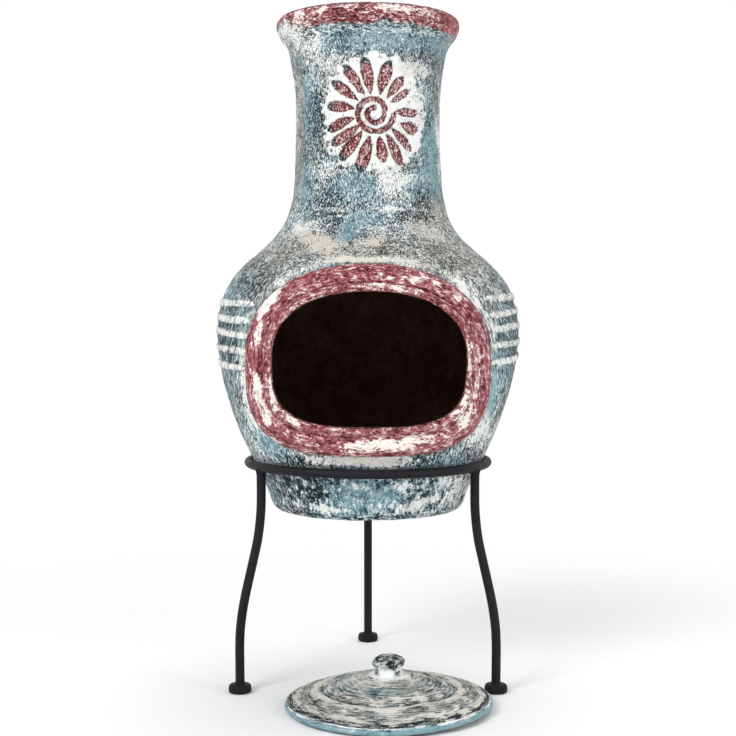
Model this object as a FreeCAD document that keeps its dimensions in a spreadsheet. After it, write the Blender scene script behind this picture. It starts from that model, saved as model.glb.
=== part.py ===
"""Clay chiminea: a fired clay body with a sun relief, standing in a three-legged iron stand,
with its lid lying on the ground in front.

The origin is on the ground under the axis of the stand; +Z is up and the mouth faces -Y.
The clay pieces are drawn with their own base at height zero, and one placement drops them
into the ring of the stand.
"""
import FreeCAD, Part
import math
import os

import Sketcher

Vector = FreeCAD.Vector
doc = FreeCAD.newDocument("chiminea")

# --- Driving sizes, in millimetres and degrees ------------------------------------------------

SIZES = [
    ("belly_radius", 169.7, "widest radius of the clay body"),
    ("belly_height", 202.0, "height of the widest place above the base"),
    ("lower_curve", 245.0, "radius of the curve below the widest place"),
    ("lower_lean", 22.0, "lean of the straight lower wall from the vertical"),
    ("upper_curve", 100.0, "radius of the curve above the widest place"),
    ("shoulder_curve", 104.0, "radius of the hollow curve from the belly to the neck"),
    ("base_round", 12.0, "rounding of the outer edge of the base"),
    ("floor_round", 8.0, "rounding of the inner edge of the floor"),
    ("wall", 16.0, "thickness of the clay wall and floor"),
    ("neck_radius", 82.0, "outer radius of the neck where it is straight"),
    ("neck_length", 168.7, "length of the neck from the end of the shoulder to its top edge"),
    ("flare_length", 88.0, "length of the neck over which it flares"),
    ("flare_curve", 380.0, "radius of the flare"),
    ("seam_drop", 96.0, "how far the joint of bowl and neck lies below the end of the shoulder"),
    ("rim_roll", 14.0, "radius of the rolled rim"),
    ("rim_overhang", 7.4, "how far the middle of the roll lies outside the straight neck"),
    ("rim_lip_round", 7.0, "rounding where the rim turns into the flue"),
    ("mouth_width", 202.0, "width of the mouth"),
    ("mouth_tall", 140.0, "height of the mouth"),
    ("mouth_corner", 55.0, "corner radius of the mouth"),
    ("mouth_drop", 28.0, "how far the middle of the mouth lies below the widest place"),
    ("band_width", 28.0, "width of the band around the mouth"),
    ("band_raise", 8.0, "how far the band stands out from the belly"),
    ("rib_tall", 7.0, "height of a side rib"),
    ("rib_pitch", 17.0, "spacing of the side ribs"),
    ("rib_raise", 2.4, "how far a rib stands out from the belly"),
    ("rib_far", 114.0, "angle from the mouth's middle to the far end of the ribs"),
    ("rib_gap", 3.0, "clearance between the band and the near end of the ribs"),
    ("sun_side", 8.0, "offset of the sun from the axis"),
    ("sun_drop", 100.6, "how far the middle of the sun lies below the neck's top edge"),
    ("sun_raise", 3.0, "how far the sun stands out from the neck"),
    ("ray_length", 32.0, "length of a ray"),
    ("ray_gap", 1.5, "clearance between the spiral and the start of a ray"),
    ("ray_narrow", 3.0, "width of a ray at its start"),
    ("ray_wide", 6.5, "width of a ray at its end"),
    ("coil_start", 4.5, "radius of the spiral's first half turn, to the middle of its ridge"),
    ("coil_step", 4.5, "how much the radius grows with each half turn"),
    ("coil_width", 5.0, "width of the spiral's ridge"),
    ("sand_drop", 16.0, "how far the sand lies below the lip of the mouth"),
    ("seat_level", 54.3, "height above the clay's base at which the ring holds it"),
    ("ring_height", 243.5, "height of the ring above the ground"),
    ("rod_radius", 5.0, "radius of the iron rod"),
    ("leg_splay", 25.5, "how far the feet stand outside the ring"),
    ("leg_bend", 200.0, "radius of the two bends of a leg"),
    ("bend_top", 205.0, "height at which a leg starts to bend outward"),
    ("bend_bottom", 52.0, "height at which a leg is upright again"),
    ("foot_radius", 12.5, "radius of a foot cap"),
    ("foot_tall", 10.0, "height of a foot cap"),
    ("foot_round", 2.5, "rounding of the top edge of a foot cap"),
    ("foot_sole", 3.0, "thickness of a foot cap under the rod"),
    ("foot_fit", 0.1, "clearance of the rod in its foot cap"),
    ("seat_gap", 0.3, "clearance between the clay and the ring"),
    ("lid_overlap", 5.6, "how far the lid reaches past the rim when it is on"),
    ("lid_edge", 9.0, "rounding of the lid's edge"),
    ("lid_flange", 22.0, "height of the lid where its flange meets the dome"),
    ("lid_step", 71.0, "radius at which the flange meets the dome"),
    ("lid_top", 36.0, "height of the dome under the knob"),
    ("lid_wall", 11.0, "thickness of the lid's dome"),
    ("lid_gap", 10.0, "space between the lid on the ground and the right foot"),
    ("lid_bearing", 206.6, "direction of the lid's middle as seen from the right foot"),
    ("knob_neck", 15.0, "radius of the knob's neck"),
    ("knob_radius", 17.4, "widest radius of the knob"),
    ("knob_round", 6.0, "rounding of the knob's widest place"),
    ("knob_level", 11.6, "height of the knob's widest place above the dome"),
    ("knob_tall", 21.0, "height of the knob above the dome"),
    ("overrun", 30.0, "how far a cutting block runs past what it cuts"),
]

RAY_COUNT = 16
RIB_COUNT = 5
COIL_HALF_TURNS = 4
LEG_ANGLES = {"back": 90, "left": 210, "right": 330}
FRONT = 270

sheet = doc.addObject("Spreadsheet::Sheet", "Sizes")
for row, (alias, value, meaning) in enumerate(SIZES, start=1):
    sheet.set(f"A{row}", alias)
    sheet.set(f"B{row}", str(value))
    sheet.set(f"C{row}", meaning)
    sheet.setAlias(f"B{row}", alias)
doc.recompute()


def size(alias):
    """The value of one driving size."""
    return float(getattr(sheet, alias))


def bind(thing, **formulas):
    """Bind properties of a feature to formulas over the sheet."""
    for name, formula in formulas.items():
        thing.setExpression(name, formula)


def place(thing, path, formula):
    """Bind one number inside a placement, such as Base.z."""
    thing.setExpression(f"Placement.{path}", formula)


# --- Sketch helpers ---------------------------------------------------------------------------

START, END, CENTRE = 1, 2, 3
ORIGIN = (-1, START)
X_AXIS, Y_AXIS = -1, -2
FRONT_VIEW = FreeCAD.Rotation(Vector(1, 0, 0), 90)


def front_sketch(name):
    """A free sketch standing upright: its x is X, its y is Z, and it looks towards -Y."""
    sketch = doc.addObject("Sketcher::SketchObject", name)
    sketch.Placement = FreeCAD.Placement(Vector(), FRONT_VIEW)
    return sketch


def body_sketch(body, role, name):
    """A sketch on one of a body's own origin planes."""
    sketch = body.newObject("Sketcher::SketchObject", name)
    plane = next(part for part in body.Origin.OriginFeatures if part.Role == role)
    sketch.AttachmentSupport = (plane, "")
    sketch.MapMode = "FlatFace"
    return sketch


def line(x1, y1, x2, y2):
    return Part.LineSegment(Vector(x1, y1, 0), Vector(x2, y2, 0))


def arc(x, y, radius, start_degrees, end_degrees):
    """An arc that runs counterclockwise from one angle to the other."""
    circle = Part.Circle(Vector(x, y, 0), Vector(0, 0, 1), radius)
    return Part.ArcOfCircle(circle, math.radians(start_degrees), math.radians(end_degrees))


def rule(sketch, kind, *items):
    """Add a constraint without a size."""
    return sketch.addConstraint(Sketcher.Constraint(kind, *items))


def worked_out(formula):
    """The present value of a formula over the sheet."""
    value = sheet.evalExpression(formula)
    return float(getattr(value, "Value", value))


def measure(sketch, kind, items, formula):
    """Add a constraint whose size follows a formula over the sheet."""
    seed = worked_out(formula)
    if kind == "Angle":
        seed = math.radians(seed)
    index = sketch.addConstraint(Sketcher.Constraint(kind, *items, seed))
    unit = " * 1 deg" if kind == "Angle" else " * 1 mm"
    sketch.setExpression(f"Constraints[{index}]", f"({formula}){unit}")
    return index


def joined(sketch, *ends):
    """Join ends in pairs: (line, end, line, end)."""
    for pair in ends:
        rule(sketch, "Coincident", *pair)


def smooth(sketch, *ends):
    """Join ends in pairs so that the lines run on without a corner."""
    for pair in ends:
        rule(sketch, "Tangent", *pair)


# --- The outline of the clay body -------------------------------------------------------------
# One outline serves every clay piece. Grown by zero it is the outside of the clay; grown by
# minus the wall it is the hollow; grown by a small raise it is the skin of a relief.

def shoulder_end():
    """Height at which the hollow curve of the shoulder meets the straight neck."""
    reach = size("upper_curve") + size("shoulder_curve")
    across = size("neck_radius") + size("shoulder_curve") - size("belly_radius") + size("upper_curve")
    return size("belly_height") + math.sqrt(reach ** 2 - across ** 2)


SHOULDER_END = (
    "(Sizes.belly_height + sqrt((Sizes.upper_curve + Sizes.shoulder_curve)^2"
    " - (Sizes.neck_radius + Sizes.shoulder_curve - Sizes.belly_radius + Sizes.upper_curve)^2))"
)
NECK_TOP = f"({SHOULDER_END} + Sizes.neck_length)"
MOUTH_CENTRE = "(Sizes.belly_height - Sizes.mouth_drop)"
SAND_TOP = f"({MOUTH_CENTRE} - Sizes.mouth_tall / 2 - Sizes.sand_drop)"
SUN_CENTRE = f"({NECK_TOP} - Sizes.sun_drop)"


def outline(name, grow, corner, flared=True):
    """Revolved solid of the clay outline, moved outward by the formula grow."""
    sketch = front_sketch(f"{name}_outline")
    grown = worked_out(grow)
    belly, level = size("belly_radius"), size("belly_height")
    lean = size("lower_lean")
    low, high, hollow = size("lower_curve"), size("upper_curve"), size("shoulder_curve")
    neck, neck_end = size("neck_radius") + grown, shoulder_end()
    top = neck_end + size("neck_length")
    round_base = size(corner)
    across, down = math.cos(math.radians(lean)), math.sin(math.radians(lean))
    low_x = belly - low
    corner_y = round_base - grown
    corner_x = low_x + (low + grown - round_base + down * (corner_y - level)) / across
    turn = math.degrees(math.atan2(neck_end - level, neck - grown + hollow - belly + high))
    sketch.addGeometry([
        line(0, -grown, corner_x, -grown),
        arc(corner_x, corner_y, round_base, 270, 360 - lean),
        line(corner_x + round_base * across, corner_y - round_base * down,
             low_x + (low + grown) * across, level - (low + grown) * down),
        arc(low_x, level, low + grown, -lean, 0),
        arc(belly - high, level, high + grown, 0, turn),
        arc(neck - grown + hollow, neck_end, hollow - grown, 180, 180 + turn),
    ])
    rule(sketch, "PointOnObject", 0, START, Y_AXIS)
    rule(sketch, "Horizontal", 0)
    smooth(sketch, (0, END, 1, START), (1, END, 2, START), (2, END, 3, START), (3, END, 4, START),
           (4, END, 5, END))
    rule(sketch, "Horizontal", 3, CENTRE, 3, END)
    measure(sketch, "DistanceX", (*ORIGIN, 3, END), f"Sizes.belly_radius + ({grow})")
    measure(sketch, "DistanceY", (*ORIGIN, 3, END), "Sizes.belly_height")
    measure(sketch, "DistanceY", (0, START, 3, END), f"Sizes.belly_height + ({grow})")
    measure(sketch, "Radius", (1,), f"Sizes.{corner}")
    measure(sketch, "Radius", (3,), f"Sizes.lower_curve + ({grow})")
    measure(sketch, "Radius", (4,), f"Sizes.upper_curve + ({grow})")
    measure(sketch, "Radius", (5,), f"Sizes.shoulder_curve - ({grow})")
    measure(sketch, "Angle", (2,), "90 - Sizes.lower_lean")
    if flared:
        flare_y, bend = top - size("flare_length"), size("flare_curve")
        flare_turn = math.degrees(math.asin((top - flare_y) / (bend - grown)))
        edge = neck - grown + bend - (bend - grown) * math.cos(math.radians(flare_turn))
        sketch.addGeometry([
            line(neck, neck_end, neck, flare_y),
            arc(neck - grown + bend, flare_y, bend - grown, 180 - flare_turn, 180),
            line(edge, top, 0, top),
            line(0, top, 0, -grown),
        ])
        smooth(sketch, (5, START, 6, START), (6, END, 7, END))
        joined(sketch, (7, START, 8, START), (8, END, 9, START), (9, END, 0, START))
        measure(sketch, "DistanceY", (*ORIGIN, 6, END), f"{NECK_TOP} - Sizes.flare_length")
        measure(sketch, "Radius", (7,), f"Sizes.flare_curve - ({grow})")
        measure(sketch, "DistanceY", (*ORIGIN, 8, START), NECK_TOP)
    else:
        top = top + size("overrun")
        sketch.addGeometry([
            line(neck, neck_end, neck, top),
            line(neck, top, 0, top),
            line(0, top, 0, -grown),
        ])
        smooth(sketch, (5, START, 6, START))
        joined(sketch, (6, END, 7, START), (7, END, 8, START), (8, END, 0, START))
        measure(sketch, "DistanceY", (*ORIGIN, 6, END), f"{NECK_TOP} + Sizes.overrun")
    closing = 8 if flared else 7
    rule(sketch, "Vertical", 6)
    rule(sketch, "Horizontal", closing)
    rule(sketch, "PointOnObject", closing, END, Y_AXIS)
    measure(sketch, "DistanceX", (*ORIGIN, 6, START), f"Sizes.neck_radius + ({grow})")
    return turned(name, sketch)


def turned(name, sketch):
    """Solid made by turning a free upright sketch about the vertical axis."""
    solid = doc.addObject("Part::Revolution", name)
    solid.Source = sketch
    solid.Axis = Vector(0, 0, 1)
    solid.Angle = 360
    solid.Solid = True
    return solid


def turned_body(body, sketch):
    """Turn a sketch of a body about the sketch's own upright axis."""
    solid = body.newObject("PartDesign::Revolution", f"{body.Name}_turned")
    solid.Profile = sketch
    solid.ReferenceAxis = (sketch, ["V_Axis"])
    solid.Angle = 360
    return body


def forward_block(name, sketch):
    """Solid made by pushing a free upright sketch forward, from the axis past the belly."""
    block = doc.addObject("Part::Extrusion", name)
    block.Base = sketch
    block.DirMode = "Custom"
    block.Dir = Vector(0, -1, 0)
    block.Solid = True
    bind(block, LengthFwd="Sizes.belly_radius + Sizes.overrun")
    return block


def cut(name, base, tool):
    piece = doc.addObject("Part::Cut", name)
    piece.Base = base
    piece.Tool = tool
    return piece


def common(name, *solids):
    piece = doc.addObject("Part::MultiCommon", name)
    piece.Shapes = list(solids)
    return piece


# --- Clay body --------------------------------------------------------------------------------

SEAT_HEIGHT = "(Sizes.ring_height - Sizes.seat_level)"
nodes = []


def keep(piece, label, height=None):
    """Name a finished piece and, for clay, drop it into its seat in the ring."""
    piece.Label = label
    if height:
        place(piece, "Base.z", height)
    nodes.append(piece)
    return piece


def round_block(name, left, bottom, width, tall, corner):
    """Block with a rounded rectangle for its front, pushed forward through the belly wall."""
    sketch = front_sketch(f"{name}_outline")
    wide, high, bend = worked_out(width), worked_out(tall), worked_out(corner)
    x, y = worked_out(left), worked_out(bottom)
    right, top = x + wide, y + high
    sketch.addGeometry([
        line(x + bend, y, right - bend, y),
        arc(right - bend, y + bend, bend, 270, 360),
        line(right, y + bend, right, top - bend),
        arc(right - bend, top - bend, bend, 0, 90),
        line(right - bend, top, x + bend, top),
        arc(x + bend, top - bend, bend, 90, 180),
        line(x, top - bend, x, y + bend),
        arc(x + bend, y + bend, bend, 180, 270),
    ])
    for side in range(0, 8, 2):
        smooth(sketch, (side, END, side + 1, START), (side + 1, END, (side + 2) % 8, START))
        measure(sketch, "Radius", (side + 1,), corner)
    for side, kind in ((2, "Vertical"), (4, "Horizontal"), (6, "Vertical")):
        rule(sketch, kind, side)
    rule(sketch, "Symmetric", 0, START, 0, END, Y_AXIS)
    measure(sketch, "DistanceX", (6, END, 2, START), width)
    measure(sketch, "DistanceY", (0, END, 4, START), tall)
    measure(sketch, "DistanceY", (*ORIGIN, 0, START), bottom)
    return forward_block(name, sketch)


def tall_cylinder(name, bottom, tall):
    """Round block wide enough to take in all the clay between two heights."""
    block = doc.addObject("Part::Cylinder", name)
    bind(block, Radius="Sizes.belly_radius + Sizes.overrun", Height=tall)
    place(block, "Base.z", bottom)
    return block


clay = outline("clay_outside", "0", "base_round")
hollow = outline("clay_hollow", "-Sizes.wall", "floor_round", flared=False)
mouth_block = round_block(
    "mouth_block",
    "-Sizes.mouth_width / 2",
    f"{MOUTH_CENTRE} - Sizes.mouth_tall / 2",
    "Sizes.mouth_width",
    "Sizes.mouth_tall",
    "Sizes.mouth_corner",
)
SEAM = f"({SHOULDER_END} - Sizes.seam_drop)"
below_seam = tall_cylinder("below_seam", "-Sizes.overrun", f"{SEAM} + Sizes.overrun")
above_seam = tall_cylinder("above_seam", SEAM, f"{NECK_TOP} - {SEAM} + Sizes.overrun")

bowl_shell = cut("bowl_shell", common("bowl_solid", clay, below_seam), hollow)
keep(cut("bowl", bowl_shell, mouth_block), "fire_bowl", SEAT_HEIGHT)
keep(cut("neck", common("neck_solid", clay, above_seam), hollow), "chimney_neck", SEAT_HEIGHT)


def chimney_rim():
    """Rolled rim: a round coil folded over the top edge of the neck, with the flue through it."""
    sketch = front_sketch("rim_outline")
    flue = size("neck_radius") - size("wall")
    middle = size("neck_radius") + size("rim_overhang")
    roll, lip = size("rim_roll"), size("rim_lip_round")
    level = worked_out(NECK_TOP)
    sketch.addGeometry([
        line(flue, level - roll, middle, level - roll),
        arc(middle, level, roll, -90, 90),
        line(middle, level + roll, flue + lip, level + roll),
        arc(flue + lip, level + roll - lip, lip, 90, 180),
        line(flue, level + roll - lip, flue, level - roll),
    ])
    smooth(sketch, (0, END, 1, START), (1, END, 2, START), (2, END, 3, START), (3, END, 4, START))
    joined(sketch, (4, END, 0, START))
    rule(sketch, "Horizontal", 0)
    rule(sketch, "Horizontal", 2)
    rule(sketch, "Vertical", 4)
    measure(sketch, "Radius", (1,), "Sizes.rim_roll")
    measure(sketch, "Radius", (3,), "Sizes.rim_lip_round")
    measure(sketch, "DistanceX", (*ORIGIN, 0, START), "Sizes.neck_radius - Sizes.wall")
    measure(sketch, "DistanceX", (*ORIGIN, 1, CENTRE), "Sizes.neck_radius + Sizes.rim_overhang")
    measure(sketch, "DistanceY", (*ORIGIN, 1, CENTRE), NECK_TOP)
    return cut("rim", turned("rim_blank", sketch), clay)


keep(chimney_rim(), "chimney_rim", SEAT_HEIGHT)


# --- Reliefs on the clay ----------------------------------------------------------------------
# Each relief is the part of a raised skin that lies in front of a block, less the clay itself.

def relief(name, block, skin):
    return cut(name, common(f"{name}_blank", skin, block), clay)


def band_block(name, margin):
    """Block like the mouth's, larger all round by the formula margin."""
    return round_block(
        name,
        f"-Sizes.mouth_width / 2 - ({margin})",
        f"{MOUTH_CENTRE} - Sizes.mouth_tall / 2 - ({margin})",
        f"Sizes.mouth_width + 2 * ({margin})",
        f"Sizes.mouth_tall + 2 * ({margin})",
        f"Sizes.mouth_corner + ({margin})",
    )


def mouth_surround():
    """Raised band of even width round the mouth."""
    skin = outline("band_skin", "Sizes.band_raise", "base_round")
    ring = cut("band_ring", band_block("band_block", "Sizes.band_width"), mouth_block)
    return relief("band", ring, skin)


keep(mouth_surround(), "mouth_surround", SEAT_HEIGHT)
rib_skin = outline("rib_skin", "Sizes.rib_raise", "base_round")
rib_limit = band_block("rib_limit", "Sizes.band_width + Sizes.rib_gap")


def side_ribs(side, turn):
    """Raised bars one above the other, from beside the band round the side of the belly."""
    bars = []
    for step in range(RIB_COUNT):
        bar = doc.addObject("Part::Cylinder", f"{side}_rib_slice_{step}")
        lift = step - (RIB_COUNT - 1) / 2
        bind(bar, Radius="Sizes.belly_radius + Sizes.overrun", Height="Sizes.rib_tall",
             Angle="Sizes.rib_far")
        place(bar, "Base.z", f"Sizes.belly_height + {lift} * Sizes.rib_pitch - Sizes.rib_tall / 2")
        place(bar, "Rotation.Angle", turn)
        bars.append(bar)
    slices = doc.addObject("Part::Compound", f"{side}_rib_slices")
    slices.Links = bars
    return relief(f"{side}_ribs", cut(f"{side}_rib_bars", slices, rib_limit), rib_skin)


keep(side_ribs("left", f"{FRONT} - Sizes.rib_far"), "side_ribs_left", SEAT_HEIGHT)
keep(side_ribs("right", f"{FRONT}"), "side_ribs_right", SEAT_HEIGHT)
sun_skin = outline("sun_skin", "Sizes.sun_raise", "base_round")


RAY_START = (
    f"(Sizes.coil_start + {COIL_HALF_TURNS} * Sizes.coil_step + Sizes.coil_width / 2"
    " + Sizes.ray_gap)"
)


def sun_rays():
    """Tapered bars standing round the middle of the sun."""
    body = doc.addObject("PartDesign::Body", "ray_block")
    body.AllowCompound = True
    sketch = body_sketch(body, "XZ_Plane", "ray_outline")
    start = worked_out(RAY_START)
    stop = start + size("ray_length")
    narrow, wide = size("ray_narrow") / 2, size("ray_wide") / 2
    sketch.addGeometry([
        line(-narrow, start, narrow, start),
        line(narrow, start, wide, stop),
        line(wide, stop, -wide, stop),
        line(-wide, stop, -narrow, start),
    ])
    joined(sketch, (0, END, 1, START), (1, END, 2, START), (2, END, 3, START), (3, END, 0, START))
    rule(sketch, "Symmetric", 0, START, 0, END, Y_AXIS)
    rule(sketch, "Symmetric", 2, START, 2, END, Y_AXIS)
    measure(sketch, "DistanceX", (0, START, 0, END), "Sizes.ray_narrow")
    measure(sketch, "DistanceX", (2, END, 2, START), "Sizes.ray_wide")
    measure(sketch, "DistanceY", (*ORIGIN, 0, START), RAY_START)
    measure(sketch, "DistanceY", (*ORIGIN, 2, START), f"{RAY_START} + Sizes.ray_length")
    ray = body.newObject("PartDesign::Pad", "ray")
    ray.Profile = sketch
    bind(ray, Length="Sizes.belly_radius + Sizes.overrun")
    wheel = body.newObject("PartDesign::PolarPattern", "ray_wheel")
    wheel.Originals = [ray]
    wheel.Axis = (sketch, ["N_Axis"])
    wheel.Angle = 360
    wheel.Occurrences = RAY_COUNT
    body.Tip = wheel
    place(body, "Base.x", "Sizes.sun_side")
    place(body, "Base.z", SUN_CENTRE)
    return relief("rays", body, sun_skin)


def sun_spiral():
    """Ridge of even width that winds outward in half circles about two centres in turn."""
    sketch = front_sketch("coil_outline")
    place(sketch, "Base.x", "Sizes.sun_side")
    place(sketch, "Base.z", SUN_CENTRE)
    step, half = size("coil_step"), size("coil_width") / 2
    for turn in range(COIL_HALF_TURNS):
        centre = step * (turn % 2)
        first = 180 * (turn % 2)
        middle = size("coil_start") + step * turn
        for radius, formula in ((middle + half, "+"), (middle - half, "-")):
            index = sketch.addGeometry(arc(centre, 0, radius, first, first + 180))
            measure(sketch, "Radius", (index,),
                    f"Sizes.coil_start + {turn} * Sizes.coil_step {formula} Sizes.coil_width / 2")
            if turn == 0:
                joined(sketch, (index, CENTRE, *ORIGIN))
            else:
                smooth(sketch, (index - 2, END, index, START))
                rule(sketch, "PointOnObject", index, CENTRE, X_AXIS)
    last = 2 * COIL_HALF_TURNS - 1
    start = size("coil_start")
    stop = step * ((COIL_HALF_TURNS - 1) % 2) + middle
    open_end = sketch.addGeometry(line(start - half, 0, start + half, 0))
    shut_end = sketch.addGeometry(line(stop - half, 0, stop + half, 0))
    joined(sketch, (open_end, END, 0, START), (open_end, START, 1, START))
    joined(sketch, (shut_end, END, last - 1, END), (shut_end, START, last, END))
    rule(sketch, "PointOnObject", open_end, START, X_AXIS)
    rule(sketch, "PointOnObject", open_end, END, X_AXIS)
    rule(sketch, "PointOnObject", shut_end, START, X_AXIS)
    rule(sketch, "PointOnObject", shut_end, END, X_AXIS)
    return relief("coil", forward_block("coil_block", sketch), sun_skin)


keep(sun_rays(), "sun_rays", SEAT_HEIGHT)
keep(sun_spiral(), "sun_spiral", SEAT_HEIGHT)
sand_block = tall_cylinder("sand_block", "-Sizes.overrun", f"{SAND_TOP} + Sizes.overrun")
keep(common("sand", hollow, sand_block), "sand_bed", SEAT_HEIGHT)


# --- Stand ------------------------------------------------------------------------------------

RING_RADIUS = (
    "(Sizes.belly_radius - Sizes.lower_curve + (Sizes.lower_curve + Sizes.rod_radius"
    " + Sizes.seat_gap + (Sizes.seat_level - Sizes.belly_height) * sin(Sizes.lower_lean))"
    " / cos(Sizes.lower_lean))"
)
LEG_SPREAD = f"({RING_RADIUS} + Sizes.leg_splay)"


def stand_ring():
    """Ring of rod that the lower wall of the clay sits in."""
    ring = doc.addObject("Part::Torus", "ring")
    bind(ring, Radius1=RING_RADIUS, Radius2="Sizes.rod_radius")
    place(ring, "Base.z", "Sizes.ring_height")
    return ring


def leg(side, angle):
    """Iron rod under the ring: upright, two gentle bends that carry it outward, upright again."""
    body = doc.addObject("PartDesign::Body", f"{side}_leg_rod")
    near, far = worked_out(RING_RADIUS), worked_out(LEG_SPREAD)
    bend = size("leg_bend")
    high, low = size("bend_top"), size("bend_bottom")
    reach = math.hypot(high - low, 2 * bend - (far - near))
    lean = math.degrees(math.atan2(high - low, 2 * bend - (far - near))
                        - math.acos(min(1, 2 * bend / reach)))
    across, down = math.cos(math.radians(lean)), math.sin(math.radians(lean))
    path = body_sketch(body, "XZ_Plane", f"{side}_leg_path")
    path.addGeometry([
        line(far, size("foot_sole"), far, low),
        arc(far - bend, low, bend, 0, lean),
        line(far - bend + bend * across, low + bend * down,
             near + bend - bend * across, high - bend * down),
        arc(near + bend, high, bend, 180, 180 + lean),
        line(near, high, near, size("ring_height")),
    ])
    smooth(path, (0, END, 1, START), (1, END, 2, START), (2, END, 3, END), (3, START, 4, START))
    rule(path, "Vertical", 0)
    rule(path, "Vertical", 4)
    measure(path, "Radius", (1,), "Sizes.leg_bend")
    measure(path, "Radius", (3,), "Sizes.leg_bend")
    measure(path, "DistanceX", (*ORIGIN, 0, START), LEG_SPREAD)
    measure(path, "DistanceX", (*ORIGIN, 4, START), RING_RADIUS)
    measure(path, "DistanceY", (*ORIGIN, 0, START), "Sizes.foot_sole")
    measure(path, "DistanceY", (*ORIGIN, 0, END), "Sizes.bend_bottom")
    measure(path, "DistanceY", (*ORIGIN, 4, START), "Sizes.bend_top")
    measure(path, "DistanceY", (*ORIGIN, 4, END), "Sizes.ring_height")
    section = body_sketch(body, "XY_Plane", f"{side}_leg_section")
    section.setExpression("AttachmentOffset.Base.z", "Sizes.foot_sole")
    section.addGeometry(Part.Circle(Vector(far, 0, 0), Vector(0, 0, 1), size("rod_radius")))
    rule(section, "PointOnObject", 0, CENTRE, X_AXIS)
    measure(section, "DistanceX", (*ORIGIN, 0, CENTRE), LEG_SPREAD)
    measure(section, "Radius", (0,), "Sizes.rod_radius")
    rod = body.newObject("PartDesign::AdditivePipe", f"{side}_leg_pipe")
    rod.Profile = section
    rod.Spine = (path, [])
    doc.recompute()
    cope = body_sketch(body, "XZ_Plane", f"{side}_leg_cope")
    cope.addGeometry(Part.Circle(Vector(near, size("ring_height"), 0), Vector(0, 0, 1),
                                 size("rod_radius")))
    measure(cope, "DistanceX", (*ORIGIN, 0, CENTRE), RING_RADIUS)
    measure(cope, "DistanceY", (*ORIGIN, 0, CENTRE), "Sizes.ring_height")
    measure(cope, "Radius", (0,), "Sizes.rod_radius")
    groove = body.newObject("PartDesign::Groove", f"{side}_leg_saddle")
    groove.Profile = cope
    groove.ReferenceAxis = (cope, ["V_Axis"])
    groove.Angle = 360
    body.Tip = groove
    body.Placement = FreeCAD.Placement(Vector(), FreeCAD.Rotation(Vector(0, 0, 1), angle))
    return body


def foot(side, angle):
    """Round cap with a blind socket for the end of the rod."""
    body = doc.addObject("PartDesign::Body", f"{side}_foot_cap")
    sketch = body_sketch(body, "XZ_Plane", f"{side}_foot_outline")
    wide, tall, bend = size("foot_radius"), size("foot_tall"), size("foot_round")
    sole, bore = size("foot_sole"), size("rod_radius") + size("foot_fit")
    sketch.addGeometry([
        line(0, 0, wide, 0),
        line(wide, 0, wide, tall - bend),
        arc(wide - bend, tall - bend, bend, 0, 90),
        line(wide - bend, tall, bore, tall),
        line(bore, tall, bore, sole),
        line(bore, sole, 0, sole),
        line(0, sole, 0, 0),
    ])
    smooth(sketch, (1, END, 2, START), (2, END, 3, START))
    joined(sketch, (0, END, 1, START), (3, END, 4, START), (4, END, 5, START), (5, END, 6, START),
           (6, END, 0, START), (0, START, *ORIGIN))
    for index, kind in enumerate(("Horizontal", "Vertical", None, "Horizontal", "Vertical",
                                  "Horizontal", "Vertical")):
        if kind:
            rule(sketch, kind, index)
    measure(sketch, "DistanceX", (0, START, 0, END), "Sizes.foot_radius")
    measure(sketch, "DistanceY", (*ORIGIN, 3, START), "Sizes.foot_tall")
    measure(sketch, "Radius", (2,), "Sizes.foot_round")
    measure(sketch, "DistanceX", (*ORIGIN, 4, START), "Sizes.rod_radius + Sizes.foot_fit")
    measure(sketch, "DistanceY", (*ORIGIN, 4, END), "Sizes.foot_sole")
    turned_body(body, sketch)
    place(body, "Base.x", f"{LEG_SPREAD} * cos({angle})")
    place(body, "Base.y", f"{LEG_SPREAD} * sin({angle})")
    return body


keep(stand_ring(), "stand_ring")
for side, angle in LEG_ANGLES.items():
    keep(leg(side, angle), f"leg_{side}")
    keep(foot(side, angle), f"foot_{side}")


# --- Lid --------------------------------------------------------------------------------------

LID_RADIUS = "(Sizes.neck_radius + Sizes.rim_overhang + Sizes.rim_roll + Sizes.lid_overlap)"
LID_REACH = f"({LID_RADIUS} + Sizes.foot_radius + Sizes.lid_gap)"


def lid_place(body):
    """Lay a piece of the lid on the ground beside the right foot."""
    foot_angle = LEG_ANGLES["right"]
    for axis, turn in (("x", "cos"), ("y", "sin")):
        place(body, f"Base.{axis}",
              f"{LEG_SPREAD} * {turn}({foot_angle}) + {LID_REACH} * {turn}(Sizes.lid_bearing)")
    return body


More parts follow.
